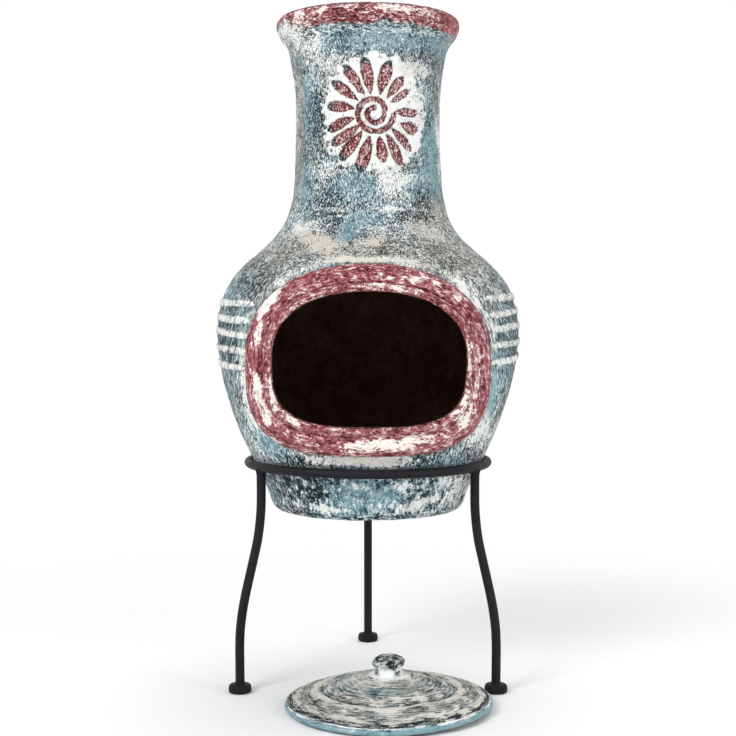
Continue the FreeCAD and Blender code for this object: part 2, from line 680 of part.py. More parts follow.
def lid_dome():
    """Shallow turned cover: a flat to rest on, a round edge, a sloping flange and a low dome."""
    body = doc.addObject("PartDesign::Body", "lid_shell")
    sketch = body_sketch(body, "XZ_Plane", "lid_outline")
    edge, step, level = size("lid_edge"), size("lid_step"), size("lid_flange")
    seat, top = size("knob_neck"), size("lid_top")
    middle = worked_out(LID_RADIUS) - edge
    away = math.hypot(middle - step, level - edge)
    turn = math.degrees(math.atan2(level - edge, step - middle) - math.acos(edge / away))
    rim_x = middle + edge * math.cos(math.radians(turn))
    rim_y = edge + edge * math.sin(math.radians(turn))
    dip = (step ** 2 + level ** 2 - seat ** 2 - top ** 2) / (2 * (level - top))
    dome = math.hypot(seat, top - dip)
    under = top - size("lid_wall") - dip
    rest = math.sqrt(under ** 2 - dip ** 2)
    sketch.addGeometry([
        line(rest, 0, middle, 0),
        arc(middle, edge, edge, 270, 360 + turn),
        line(rim_x, rim_y, step, level),
        arc(0, dip, dome, math.degrees(math.atan2(level - dip, step)),
            math.degrees(math.atan2(top - dip, seat))),
        line(seat, top, 0, top),
        line(0, top, 0, top - size("lid_wall")),
        arc(0, dip, under, math.degrees(math.atan2(-dip, rest)), 90),
    ])
    smooth(sketch, (0, END, 1, START), (1, END, 2, START))
    joined(sketch, (2, END, 3, START), (3, END, 4, START), (4, END, 5, START), (5, END, 6, END),
           (6, START, 0, START), (6, CENTRE, 3, CENTRE))
    rule(sketch, "PointOnObject", 0, START, X_AXIS)
    rule(sketch, "Horizontal", 0)
    rule(sketch, "Horizontal", 4)
    rule(sketch, "PointOnObject", 4, END, Y_AXIS)
    rule(sketch, "Vertical", 5)
    rule(sketch, "PointOnObject", 3, CENTRE, Y_AXIS)
    measure(sketch, "Radius", (1,), "Sizes.lid_edge")
    measure(sketch, "DistanceX", (*ORIGIN, 1, CENTRE), f"{LID_RADIUS} - Sizes.lid_edge")
    measure(sketch, "DistanceX", (*ORIGIN, 3, START), "Sizes.lid_step")
    measure(sketch, "DistanceY", (*ORIGIN, 3, START), "Sizes.lid_flange")
    measure(sketch, "DistanceX", (*ORIGIN, 4, START), "Sizes.knob_neck")
    measure(sketch, "DistanceY", (*ORIGIN, 4, START), "Sizes.lid_top")
    measure(sketch, "DistanceY", (5, END, 5, START), "Sizes.lid_wall")
    return lid_place(turned_body(body, sketch))


def lid_knob():
    """Turned knob: a short neck and a rounded head with a low crown."""
    body = doc.addObject("PartDesign::Body", "knob")
    sketch = body_sketch(body, "XZ_Plane", "knob_outline")
    neck, bend = size("knob_neck"), size("knob_round")
    middle, level, tall = size("knob_radius") - bend, size("knob_level"), size("knob_tall")
    head = tall - bend
    dip = (middle ** 2 + level ** 2 - head ** 2) / (2 * (level - head))
    turn = math.degrees(math.atan2(level - dip, middle))
    drop = math.degrees(math.acos((neck - middle) / bend))
    neck_tall = level - bend * math.sin(math.radians(drop))
    sketch.addGeometry([
        line(0, 0, neck, 0),
        line(neck, 0, neck, neck_tall),
        arc(middle, level, bend, 360 - drop, 360 + turn),
        arc(0, dip, tall - dip, turn, 90),
        line(0, tall, 0, 0),
    ])
    joined(sketch, (0, START, *ORIGIN), (0, END, 1, START), (1, END, 2, START), (3, END, 4, START),
           (4, END, 0, START))
    smooth(sketch, (2, END, 3, START))
    rule(sketch, "Horizontal", 0)
    rule(sketch, "Vertical", 1)
    rule(sketch, "Vertical", 4)
    rule(sketch, "PointOnObject", 3, CENTRE, Y_AXIS)
    measure(sketch, "DistanceX", (*ORIGIN, 1, START), "Sizes.knob_neck")
    measure(sketch, "Radius", (2,), "Sizes.knob_round")
    measure(sketch, "DistanceX", (*ORIGIN, 2, CENTRE), "Sizes.knob_radius - Sizes.knob_round")
    measure(sketch, "DistanceY", (*ORIGIN, 2, CENTRE), "Sizes.knob_level")
    measure(sketch, "DistanceY", (*ORIGIN, 4, START), "Sizes.knob_tall")
    return lid_place(turned_body(body, sketch))


keep(lid_dome(), "lid_dome")
keep(lid_knob(), "lid_knob", "Sizes.lid_top")


# --- Check and write --------------------------------------------------------------------------

doc.recompute()
for thing in doc.Objects:
    faults = {"Invalid", "Error"} & set(thing.State)
    if faults:
        raise RuntimeError(f"{thing.Name} did not work out: {sorted(faults)}")
for side in LEG_ANGLES:
    pipe, saddle = doc.getObject(f"{side}_leg_pipe"), doc.getObject(f"{side}_leg_saddle")
    if not saddle.Shape.Volume < pipe.Shape.Volume:
        raise RuntimeError(f"the saddle of the {side} leg cut nothing")
os.makedirs("parts", exist_ok=True)
for piece in nodes:
    shape = piece.Shape
    if shape.isNull() or not shape.isValid() or not shape.Solids:
        raise RuntimeError(f"{piece.Label} is not a sound solid")
    shape.exportStep(f"parts/{piece.Label}.step")
    print(f"{piece.Label}: {len(shape.Solids)} solid(s), {shape.Volume / 1000:.1f} cm3")
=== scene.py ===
# %% [markdown]
# # A painted clay chiminea
# A chiminea is a clay fireplace: a round belly with a mouth for the wood, a neck that carries the
# smoke away, an iron stand that keeps the heat off the ground, and a lid for when it is cold.
# The construction model gives every piece its place. This lesson gives each piece its looks, in
# metres, around that model.

# %% Load the frame
import math

import bmesh
import bpy
import numpy as np
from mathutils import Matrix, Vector


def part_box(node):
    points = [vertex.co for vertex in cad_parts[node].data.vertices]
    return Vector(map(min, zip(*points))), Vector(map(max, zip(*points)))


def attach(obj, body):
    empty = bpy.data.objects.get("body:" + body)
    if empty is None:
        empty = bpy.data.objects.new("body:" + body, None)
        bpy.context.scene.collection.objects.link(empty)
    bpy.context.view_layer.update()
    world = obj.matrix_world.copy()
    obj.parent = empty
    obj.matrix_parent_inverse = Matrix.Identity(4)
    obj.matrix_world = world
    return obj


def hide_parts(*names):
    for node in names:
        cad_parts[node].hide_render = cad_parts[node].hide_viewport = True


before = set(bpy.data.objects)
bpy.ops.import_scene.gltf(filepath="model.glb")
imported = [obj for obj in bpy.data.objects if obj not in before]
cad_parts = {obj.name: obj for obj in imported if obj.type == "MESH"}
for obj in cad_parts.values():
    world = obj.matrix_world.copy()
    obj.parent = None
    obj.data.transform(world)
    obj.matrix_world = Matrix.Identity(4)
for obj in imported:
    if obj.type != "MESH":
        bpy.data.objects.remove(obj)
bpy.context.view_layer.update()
MM = 0.001


def centre_of(node):
    """Middle of the box of a piece of the construction model."""
    low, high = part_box(node)
    return (low + high) / 2


# %% [markdown]
# ## How a shape becomes a mesh
# Almost every piece here is a sheet of points on a grid, worked out with numpy as whole arrays.
# Four neighbouring points make a face. That gives even faces, which take small dents and bumps
# well, and it is far quicker than adding vertices one by one. A grid that closes on itself, with its
# poles merged, is a watertight piece, and its enclosed volume tells whether its faces point out.

# %% Grid to mesh
def face_grid(rows, columns, closed=False):
    """Corner numbers of the quads between neighbouring points of a grid, as an array of fours.

    The columns always join up again, and a closed grid joins its last row to its first as well.
    """
    number = np.arange(rows * columns).reshape(rows, columns)
    if closed:
        number = np.vstack([number, number[:1]])
    number = np.hstack([number, number[:, :1]])
    corners = [number[:-1, :-1], number[:-1, 1:], number[1:, 1:], number[1:, :-1]]
    return np.stack(corners, -1).reshape(-1, 4)


MERGE = 1e-6


def into_scene(name, data):
    """An object that holds a mesh, lamp or camera, put into the scene."""
    holder = bpy.data.objects.new(name, data)
    bpy.context.scene.collection.objects.link(holder)
    return holder


def make_piece(name, points, faces, **attributes):
    """Mesh object from points and quads. Each attribute is one number or three per point.

    A painted piece has no soot and no red unless it says so. Doubled points are merged, which closes
    the poles, and the faces are turned outward.
    """
    if "patches" in attributes:
        attributes = {"soot": np.zeros(len(points)), "red": np.zeros(len(points)), **attributes}
    mesh = bpy.data.meshes.new(name)
    mesh.from_pydata(points, [], faces)
    for label, values in attributes.items():
        kind, field = ("FLOAT_VECTOR", "vector") if values.ndim == 2 else ("FLOAT", "value")
        layer = mesh.attributes.new(label, kind, "POINT")
        layer.data.foreach_set(field, np.asarray(values, np.float32).ravel())
    work = bmesh.new()
    work.from_mesh(mesh)
    bmesh.ops.remove_doubles(work, verts=work.verts, dist=MERGE)
    bmesh.ops.recalc_face_normals(work, faces=work.faces)
    if work.calc_volume(signed=True) < 0:
        bmesh.ops.reverse_faces(work, faces=work.faces)
    open_edges = sum(not edge.is_manifold for edge in work.edges)
    work.to_mesh(mesh)
    work.free()
    mesh.shade_smooth()
    print(f"{name}: {len(mesh.polygons)} faces, {open_edges} open edges")
    return into_scene(name, mesh)

# %% Smooth outlines
def distances(line):
    """Distance along a line to each of its points, from 0 at the first."""
    return np.concatenate([[0], np.cumsum(np.linalg.norm(np.diff(line, axis=0), axis=1))])


def evenly(line, count, closed=False):
    """That many points at even distances along a line. A closed line doesn't repeat its first."""
    length = distances(line)
    even = np.linspace(0, length[-1], count, endpoint=not closed)
    return np.stack([np.interp(even, length, column) for column in line.T], -1)


def smooth_line(corners, count, closed=False):
    """Evenly spaced points on a smooth curve through a few corners.

    Between two corners the curve is a cubic whose slope at a corner is that of the chord between the
    corners on either side, so it runs through each corner without a kink.
    """
    corners = np.asarray(corners, float)
    if closed:
        ring = np.vstack([corners[-2:], corners, corners[:3]])
    else:
        ring = np.vstack([2 * corners[0] - corners[1], corners, 2 * corners[-1] - corners[-2]])
    knots = distances(ring)
    slope = np.gradient(ring, knots, axis=0)
    first, last = (2, len(ring) - 3) if closed else (1, len(ring) - 2)
    dense = np.linspace(knots[first], knots[last], 60 * len(corners))
    index = np.clip(np.searchsorted(knots, dense, side="right") - 1, first, last - 1)
    span = (knots[index + 1] - knots[index])[:, None]
    t = (dense - knots[index])[:, None] / span
    near = (2 * t ** 3 - 3 * t ** 2 + 1) * ring[index] + (t ** 3 - 2 * t ** 2 + t) * span * slope[index]
    far = (3 * t ** 2 - 2 * t ** 3) * ring[index + 1] + (t ** 3 - t ** 2) * span * slope[index + 1]
    return evenly(near + far, count, closed)


def outline(corners, count, closed=False):
    """Smooth line through corners (distance from the axis, height) that are given in millimetres."""
    return smooth_line(np.array(corners) * MM, count, closed)


def weighed_line(corners, width, count):
    """Smooth line through (share, millimetres) corners, evenly spaced as if 1 share were that wide."""
    return smooth_line(np.array(corners) * [width, 1], count) / [width, 1]


def unit(vectors):
    """Each vector, along the last axis, made length 1."""
    return vectors / np.linalg.norm(vectors, axis=-1, keepdims=True)


def together(*columns):
    """Columns side by side, one row per point. A plain number is the same at every point."""
    return np.stack(np.broadcast_arrays(*columns), -1)

# %% Hand-made unevenness
def lumps(points, wavelength, seed):
    """Smooth unevenness between about -1 and 1: cosine waves in many directions, added up.

    Each wave runs along its own random direction, with its own length near the given wavelength.
    """
    dice = np.random.default_rng(seed)
    waves = 14
    direction = unit(dice.normal(size=(waves, 3)))
    rate = 2 * math.pi / (wavelength * dice.uniform(0.7, 1.5, waves))
    phase = dice.uniform(0, 2 * math.pi, waves)
    total = sum(np.cos(points @ (direction[i] * rate[i]) + phase[i]) for i in range(waves))
    return total / math.sqrt(2 * waves)


def soft_step(value, low, high):
    """Rises smoothly from 0 below low to 1 above high."""
    t = np.clip((value - low) / (high - low), 0, 1)
    return t * t * (3 - 2 * t)


def bell(value, middle, width):
    """1 at the middle, fading to 0 about two widths to either side."""
    return np.exp(-((value - middle) / width) ** 2)


def daub(x, z, middle_x, middle_z, half_wide, half_high, strength, tilt=0):
    """A soft dab of the brush: strength in the middle of a tilted ellipse, 0 past its edge. In mm."""
    turn = math.radians(tilt)
    across, up = x - middle_x * MM, z - middle_z * MM
    along = (across * math.cos(turn) + up * math.sin(turn)) / (half_wide * MM)
    beside = (up * math.cos(turn) - across * math.sin(turn)) / (half_high * MM)
    return strength * np.exp(-(along ** 2 + beside ** 2) ** 1.5)


def tint(red, green, blue):
    """A colour as read off a paint chart (0 to 255) turned into the light values a shader uses."""
    chart = np.array([red, green, blue]) / 255
    return np.where(chart < 0.04045, chart / 12.92, ((chart + 0.055) / 1.055) ** 2.4)

# %% [markdown]
# ## The clay's outline
# The belly and neck are one run of clay. A lathe (Screw or Spin) on a drawn curve could make it, but
# the mouth, the dents and the sun have to be worked into the same surface, so the outline is a
# smooth curve through a few heights and radii, and the surface is that curve carried round the axis.
# Angles are counted from the mouth, to the right.

# %% Outline of the belly and neck
bowl_low, bowl_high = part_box("fire_bowl")
seam_z = bowl_high.z
WALL = 16 * MM
FLUE_RADIUS = 66 * MM
FLUE_STRAIGHT = 0.559
NECK_TOP = 0.7255
WALL_OUTLINE = [
    (94, 189.3), (101.5, 191), (107, 196), (110.2, 204), (114, 214), (129.2, 245.4), (148.6, 290),
    (161.6, 330), (168.6, 370), (169.5, 393), (165.8, 420), (155.3, 445), (139.2, 465), (120.2, 482),
    (104.6, 497), (92.8, 515), (85.3, 540), (82.3, 575), (81, 620), (81.8, 660), (85.6, 690), (89, 706),
    (93, 726),
]
wall_line = outline(WALL_OUTLINE, 1200)


def wall_radius(z):
    """Radius of the clay's outside at a height."""
    return np.interp(z, wall_line[:, 1], wall_line[:, 0])


def wall_slope(z):
    """How fast that radius grows with height."""
    step = 0.5 * MM
    return (wall_radius(z + step) - wall_radius(z - step)) / (2 * step)


def wall_normal(z):
    """Outward direction of the wall at a height, as (away from the axis, up)."""
    return unit(together(1.0, -wall_slope(z)))


def full_turn(count, start=-math.pi):
    """Even angles once round, without the last, which would be the first again."""
    return np.linspace(start, start + 2 * math.pi, count, endpoint=False)


def around(angle, radius, z):
    """Points at an angle from the mouth, a distance from the axis and a height."""
    return together(radius * np.sin(angle), -radius * np.cos(angle), z)


def turned(rows, angles):
    """Every row (radius, height) carried round the axis through every angle, as a list of points."""
    return around(angles, rows[:, :1], rows[:, 1:]).reshape(-1, 3)


def dents(points):
    """Height of the hand-formed unevenness of the clay: broad swells, thumb dents and small bumps."""
    broad = lumps(points, 90 * MM, 3) * 0.45
    thumb = lumps(points, 26 * MM, 5) * 0.30
    small = lumps(points, 9 * MM, 8) * 0.16
    return (broad + thumb + small) * MM


belly = wall_line[:, 0].max()
print("belly radius", round(belly / MM, 1), "mm; base at", round(bowl_low.z / MM, 1), "mm")

# %% Brush strokes follow the making
def strokes_up(points):
    """Coordinates for upright and slanting brush strokes on the turned clay.

    Each point is turned about the axis by an amount that grows with height and with the sine of its
    angle, so a line of equal coordinates leans inward on both sides of the mouth, most of all on the
    belly. Height is divided by the stretch, so a pattern comes out that many times longer than wide:
    long strokes on the belly, short dabs on the neck. Below the ring everything is divided once more,
    which makes the strokes there as much broader.
    """
    lean, reach, mouth_z = 4.2, 80 * MM, 0.39
    belly_stretch, neck_stretch, foot_breadth = 4.6, 1.4, 1.6
    x, y, z = points.T
    angle = np.arctan2(x, -y)
    slanted = angle + lean * reach * np.tanh((z - mouth_z) / reach) * np.sin(angle)
    height = np.minimum(z, seam_z) / belly_stretch + np.maximum(z - seam_z, 0) / neck_stretch
    broader = foot_breadth + (1 - foot_breadth) * soft_step(z, 0.238, 0.250)
    return around(slanted, np.hypot(x, y), height) / broader[:, None]


def strokes_round(rows, columns, length, across, stretch):
    """Coordinates for strokes that run round a ring, kept as a grid of rows and columns.

    The way round becomes a small circle, as long as the ring divided by the stretch. The distance
    across the ring stays as it is.
    """
    turn = np.tile(full_turn(columns, 0), rows)
    reach = length / (2 * math.pi * stretch)
    return together(reach * np.sin(turn), reach * np.cos(turn), across)

# %% [markdown]
# ## The mouth
# The mouth is a wide oval with a flatter sill. A superellipse draws it: an ellipse whose squares
# become other powers, near 2 for round shoulders and near 3.5 for full corners. The upper and the
# lower half each have their own power, and so does the outside of the red band round it.

# %% Outline of the mouth
MOUTH = dict(centre=(1.5, 363.0), half=(101.0, 70.0), powers=(2.3, 3.3))
BAND = dict(centre=(0.0, 361.8), half=(128.5, 99.6), powers=(2.2, 3.4))


print("mouth opening:", [2 * half for half in MOUTH["half"]], "mm")


def oval(shape, count):
    """Evenly spaced points on a superellipse, from its lowest point and to the left, in metres."""
    turn = full_turn(4000, 0)
    side, height = -np.sin(turn), -np.cos(turn)
    power = np.where(height > 0, *shape["powers"])
    grow = (np.abs(side) ** power + np.abs(height) ** power) ** (-1 / power)
    x = shape["centre"][0] + shape["half"][0] * grow * side
    z = shape["centre"][1] + shape["half"][1] * grow * height
    path = together(x, z)
    return evenly(np.vstack([path, path[:1]]), count, closed=True) * MM


def inside_oval(shape, x, z, grow=0.0):
    """How far in a point lies: under 1 inside the superellipse grown by some millimetres."""
    side = np.abs(x / MM - shape["centre"][0]) / (shape["half"][0] + grow)
    height = (z / MM - shape["centre"][1]) / (shape["half"][1] + grow)
    power = np.where(height > 0, *shape["powers"])
    return side ** power + np.abs(height) ** power

# %% [markdown]
# ## Where the paint goes
# The painter worked in patches: light blue here, white there, dark strokes elsewhere. Each patch is
# a soft dab. The sum of dabs is kept with the mesh as an attribute, and the material later breaks it
# up into strokes and flecks. Only the patches are listed one by one, and the fine detail is left to noise.

# %% Patches on the belly and neck
def dabs(points, patches):
    """Sum of soft dabs. Only the mouth's side gets them."""
    x, y, z = points.T
    front = soft_step(-y, -10 * MM, 10 * MM)
    return sum(daub(x, z, *patch) for patch in patches) * front


# x and z of the middle and half the width and height in mm, strength, tilt in degrees if not 0
LIGHT_BLUE = [
    (18, 703, 66, 13, 1.2, 2), (-62, 640, 10, 40, 0.7), (-72, 560, 10, 40, 0.5, 10),
    (66, 600, 12, 40, 0.5), (-140, 385, 20, 50, 0.5), (146, 380, 18, 50, 0.6), (62, 555, 16, 14, 0.7),
    (-14, 547, 24, 13, 1.3), (-8, 511, 25, 9, 1.3), (-24, 495, 14, 12, 1.3, 20), (0, 528, 30, 10, 0.4),
    (-118, 300, 20, 34, 0.7, 15), (-100, 272, 22, 14, 0.9), (130, 322, 14, 34, 0.7, -10),
    (0, 217, 42, 18, 0.9), (76, 252, 34, 8, 0.6), (48, 545, 14, 10, 0.4),
]
# The first white dab, a thin line on the fold under the rim, is a painted highlight.
WHITE = [
    (13, 712, 50, 2, 0.9), (-63, 704, 18, 12, 0.7), (-52, 668, 18, 26, 0.6), (47, 673, 20, 9, 1),
    (52, 590, 12, 26, 0.5, 10), (24, 556, 14, 14, 0.8), (50, 556, 30, 7, 0.5, 4),
    (-45, 562, 26, 14, 0.4), (-42, 523, 20, 1.8, 1), (-30, 515, 11, 1.5, 0.8), (30, 523, 26, 2, 0.6),
    (-60, 505, 22, 8, 0.6), (-14, 229, 9, 4, 1.4), (36, 228, 10, 4, 1.4), (-49, 203, 36, 4, 1.4, -6),
    (45, 206, 22, 7, 1.2, 10), (90, 225, 24, 26, 0.6), (-8, 257, 60, 6, 1.15),
    (106, 440, 24, 34, 0.5, -40), (-122, 330, 16, 50, 0.5, 10), (116, 288, 22, 24, 0.6),
    (30, 500, 60, 8, 0.4),
]
CREAM = [
    (-53, 489, 30, 9, 1.4, -14), (6, 486, 26, 7, 1.1, 6), (0, 466, 80, 4, 0.7),
    (62, 500, 26, 10, 0.8, -30), (47, 673, 20, 9, 0.8), (-8, 257, 62, 6, 0.8),
    (-40, 473, 36, 5, 0.8, -14),
]
DARK = [
    (-52, 640, 12, 50, 0.8), (-40, 520, 20, 28, 0.9), (22, 490, 8, 26, 1.3, -32),
    (62, 545, 12, 20, 0.9), (-60, 221, 12, 18, 1.05, 8), (-77, 255, 14, 7, 1.4), (33, 257, 10, 6, 1.1),
    (-120, 445, 22, 30, 0.7, 30), (60, 253, 14, 7, 1), (-30, 700, 14, 10, 0.6), (44, 508, 30, 18, 0.6),
    (-90, 222, 20, 16, 0.25), (-152, 385, 20, 40, 0.9), (155, 392, 18, 42, 0.9),
    (112, 258, 20, 10, 0.5, 30), (92, 470, 44, 14, 0.5, -38), (-92, 472, 44, 14, 0.4, 38),
]
DUSTY = [
    (0, 476, 90, 12, 1), (95, 470, 60, 26, 1, -35), (-95, 478, 50, 26, 0.8, 35), (-75, 620, 9, 60, 0.5),
    (118, 300, 16, 40, 0.4), (75, 520, 24, 20, 0.8, -30),
]


print("dabs:", sum(len(table) for table in (LIGHT_BLUE, WHITE, CREAM, DARK, DUSTY)))

# %% From patches to the paint of a point
def painted(points):
    """The attributes of the turned clay: light blue, white and dark, then calm, cream and dusty.

    Each is its dabs plus slow noise. The back has no dabs, so its noise is about twice as strong. A
    halo round the mouth's band is calmer and paler, most of all above it. The neck's sides are calmer
    and dustier, and darker towards the edges, which is painted shade.
    """
    x, y, z = points.T
    back = soft_step(y, -20 * MM, 60 * MM)
    rear = soft_step(y, -70 * MM, 20 * MM)
    freely = 1 + 1.1 * rear
    slow = [lumps(points * [1, 1, 0.6], 70 * MM, seed) for seed in (21, 22, 23, 24)]
    side = np.abs(np.arctan2(x, -y))
    neck_sides = soft_step(z, 0.50, 0.56) * bell(side, 1.25, 0.32)
    halo = bell(inside_oval(BAND, x, z, 6) ** 0.4, 1.0, 0.035) * (y < 0) * soft_step(z, 0.27, 0.31)
    over_mouth = halo * soft_step(z, 0.37, 0.42)
    low_right = halo * (1 - soft_step(z, 0.36, 0.40)) * soft_step(x, 0.0, 0.08)
    foot = 1 - soft_step(z, 0.235, 0.265)
    blue = 0.42 + dabs(points, LIGHT_BLUE) + 0.30 * freely * slow[0]
    blue += 0.4 * low_right - 0.1 * over_mouth + 0.15 * foot
    white = 0.20 + dabs(points, WHITE) + 0.24 * freely * slow[1]
    white += 0.26 * halo + 0.12 * over_mouth - 0.1 * low_right
    dark = 0.22 + 0.9 * dabs(points, DARK) + 0.24 * freely * slow[2]
    # The 0.25 x neck_sides term is painted shade: the neck gets darker towards its left and right edges.
    dark += 0.34 * foot + 0.25 * neck_sides - 0.4 * halo - 0.1 * rear
    calm = 0.15 + 0.15 * slow[3] + 0.75 * neck_sides + 0.7 * halo + 0.35 * rear
    cream = dabs(points, CREAM) + 0.65 * back * soft_step(slow[3], 0.45, 0.9)
    dusty = dabs(points, DUSTY) + 0.15 * slow[3] + 0.25 * back
    dusty += 0.6 * over_mouth + 0.35 * neck_sides + 0.3 * low_right
    white += 0.6 * np.clip(cream, 0, 1.4)
    return {"patches": together(blue, white, dark), "manner": together(calm, cream, dusty)}

# %% [markdown]
# ## The fire bowl
# The bowl is the belly below the neck's seam, with its wall, its inner face and the hole of the
# mouth. Its outside and inside are one sheet that turns over at the seam. The hole is cut by leaving
# faces out of both walls, and the two rims of the hole are then joined. The red band hides them.

# %% Walls of the fire bowl
AROUND = 360
BOTTOM_RINGS = 12
low_part = wall_line[wall_line[:, 1] <= seam_z]
side_line = smooth_line(low_part[::12], 112)
side_line[-1] = wall_radius(seam_z), seam_z
outward = wall_normal(side_line[:, 1])
inner_line = side_line - WALL * outward
inner_line[-1, 1] = seam_z


def with_bottom(line):
    """A wall's outline with rings before it that fill its flat bottom from the axis outward."""
    share = np.linspace(0, 1, BOTTOM_RINGS, endpoint=False)
    return np.vstack([together(share * line[0, 0], line[0, 1]), line])


outer_rows = with_bottom(side_line)
outer_normal = np.vstack([np.tile([0.0, -1.0], (BOTTOM_RINGS, 1)), outward])
count = len(outer_rows)
grid = (count, AROUND, 3)
bowl_turn = full_turn(AROUND)
bowl_out = turned(outer_rows, bowl_turn)
swell = dents(bowl_out) * np.repeat(soft_step(outer_rows[:, 0], 0.04, 0.09), AROUND)
bowl_push = turned(outer_normal, bowl_turn) * swell[:, None]
bowl_out = (bowl_out + bowl_push).reshape(grid)
bowl_in = (turned(with_bottom(inner_line), bowl_turn) - 0.7 * bowl_push).reshape(grid)
bowl_points = np.concatenate([bowl_out, bowl_in[::-1]]).reshape(-1, 3)
print("bowl: outside and inside are", 2 * count, "rows of", AROUND, "points")

# %% The hole for the mouth
quads = face_grid(2 * count, AROUND).reshape(2 * count - 1, AROUND, 4)
middle = (bowl_out[:-1] + bowl_out[1:]) / 2
middle = (middle + np.roll(middle, -1, axis=1)) / 2
HOLE_MARGIN = 12.5
hole = inside_oval(MOUTH, middle[..., 0], middle[..., 2], HOLE_MARGIN) < 1
hole &= middle[..., 1] < 0
keep = np.ones((2 * count - 1, AROUND), bool)
keep[:count - 1] &= ~hole
keep[count:] &= ~hole[::-1]


def hole_rim(hole, count, columns):
    """Quads that join the outer and the inner rim of a hole cut through both walls.

    An edge belongs to the rim where the cells on its two sides differ. The inner wall's rows run the
    other way, so row i of the outside faces row 2 x count - 1 - i.
    """
    padded = np.zeros((count + 1, columns), bool)
    padded[1:count] = hole
    row, column = np.nonzero(padded[:-1] != padded[1:])
    flat = [(row, column), (row, (column + 1) % columns)]
    row, column = np.nonzero(hole != np.roll(hole, 1, axis=1))
    upright = [(row, column), (row + 1, column)]
    ends = [[np.concatenate([flat[end][k], upright[end][k]]) for k in (0, 1)] for end in (0, 1)]
    outer = [row * columns + column for row, column in ends]
    inner = [(2 * count - 1 - row) * columns + column for row, column in ends]
    return together(outer[0], outer[1], inner[1], inner[0])


bowl = make_piece("clay_bowl", bowl_points, np.vstack([quads[keep], hole_rim(hole, count, AROUND)]),
                  strokes=strokes_up(bowl_points), soot=np.repeat([0.0, 1.0], count * AROUND),
                  **painted(bowl_points))

# %% [markdown]
# ## The sun
# A sun with sixteen petals and a spiral heart is pressed into the front of the neck. The white clay
# stands proud, and the petals and the spiral are hollows painted red. Each hollow is drawn as a
# distance: how far a point of the unrolled neck lies inside it. The distance then gives both the
# depth of the groove and the edge of the paint, so that shape and colour always agree.

# %% Petals and spiral as distances
SUN = (8.0, 625.4)
# degrees clockwise from the top, inner and outer end, width, sideways bend, dark tip, worn away
PETALS = [
    (-13, 19.5, 60, 11.5, 1.5, 1, 0), (13.5, 19.5, 58, 12.5, 2, 1, 0),
    (38, 19.5, 51, 10, 0.5, 0.5, 0.1), (56.5, 19.5, 47, 8, 0, 0, 0.6), (87, 19.5, 51, 9, 0.5, 0, 0.5),
    (110.5, 29.5, 53, 11.5, -1, 0, 0), (132, 22.5, 58, 9, 1, 0, 0.35),
    (151, 24.5, 63, 10.5, 1.5, 0.1, 0.1), (170, 24.5, 54, 11, 0.5, 0.2, 0),
    (194, 24.5, 66, 13, 1, 1, 0), (216, 22.5, 63, 11.5, 2, 0.7, 0.1), (233, 20.5, 59, 11, 3, 0.5, 0),
    (255.5, 22.5, 57, 10.5, -3.5, 0.7, 0), (281.5, 22.5, 56, 10.5, -1.5, 0.9, 0.1),
    (306, 21.5, 60, 10, -0.5, 1, 0), (327.5, 21.5, 62, 10, -1, 0.9, 0),
]
HEART_TURNS = np.radians([-25, 0, 90, 180, 270, 360, 450, 540, 630])
HEART_RADII = np.array([2.0, 4.8, 8.6, 10.2, 10.0, 14.8, 19.0, 19.5, 20.4]) * MM
HEART_GROOVE = 3.0 * MM


def sun_hollows(across, up):
    """Depth inside the nearest hollow, darkness of the petals' tips and wear, over the flat neck.

    A petal is a paddle: a blunt oval along its length, widest beyond the middle. Its middle line bends
    sideways with the square of the way along. The spiral's middle line is a radius that grows with the
    turn.
    """
    reach, bearing = np.hypot(across, up), np.arctan2(across, up)
    depth, tips, worn = np.full(reach.shape, -1.0), np.zeros(reach.shape), np.zeros(reach.shape)
    for degrees, inner, outer, width, bend, dark, wear in PETALS:
        off = (bearing - math.radians(degrees) + math.pi) % (2 * math.pi) - math.pi
        along = (reach * np.cos(off) / MM - inner) / (outer - inner)
        way = np.clip(along, 0, 1)
        middle = bend * way ** 2 * MM
        paddle = 0.55 * width * MM * (1 - np.abs(2 * way ** 1.45 - 1) ** 2.4) ** 0.66
        within = (along > 0) & (along < 1) & (np.abs(off) < 1.2)
        here = np.where(within, paddle - np.abs(reach * np.sin(off) - middle), -1.0)
        tips = np.where(here > depth, dark * soft_step(along, 0.74, 0.92), tips)
        worn = np.where(here > depth, wear * soft_step(along, 0.2, 0.6), worn)
        depth = np.maximum(depth, here)
    for lap in range(-1, 3):
        angle = lap * 2 * math.pi - bearing
        groove = HEART_GROOVE - np.abs(reach - np.interp(angle, HEART_TURNS, HEART_RADII))
        on_spiral = (angle > HEART_TURNS[0]) & (angle < HEART_TURNS[-1])
        depth = np.where(on_spiral, np.maximum(depth, groove), depth)
    return depth, tips, worn

# %% [markdown]
# ## The neck
# The neck is turned like the bowl, but its grid isn't even: behind the sun the rows and columns lie
# under a millimetre apart, because the carving needs them, and elsewhere they are wide apart.

# %% Neck with the carved sun
CARVED_HALF = math.radians(50)
CARVED_LOW, CARVED_HIGH = 0.556, 0.694
neck_turn = np.concatenate([np.linspace(-CARVED_HALF, CARVED_HALF, 168, endpoint=False),
                            np.linspace(CARVED_HALF, 2 * math.pi - CARVED_HALF, 122, endpoint=False)])
neck_z = np.concatenate([np.linspace(seam_z, CARVED_LOW, 52, endpoint=False),
                         np.linspace(CARVED_LOW, CARVED_HIGH, 164, endpoint=False),
                         np.linspace(CARVED_HIGH, NECK_TOP, 16)])
flat_neck = turned(together(wall_radius(neck_z), neck_z), neck_turn)
x, y, z = flat_neck.T
UNROLLED_RADIUS = 82 * MM
across = np.arctan2(x, -y) * UNROLLED_RADIUS - SUN[0] * MM + 0.5 * MM * lumps(flat_neck, 9 * MM, 61)
up = z - SUN[1] * MM + 0.5 * MM * lumps(flat_neck, 9 * MM, 62)
hollow, tips, worn = sun_hollows(across, up)
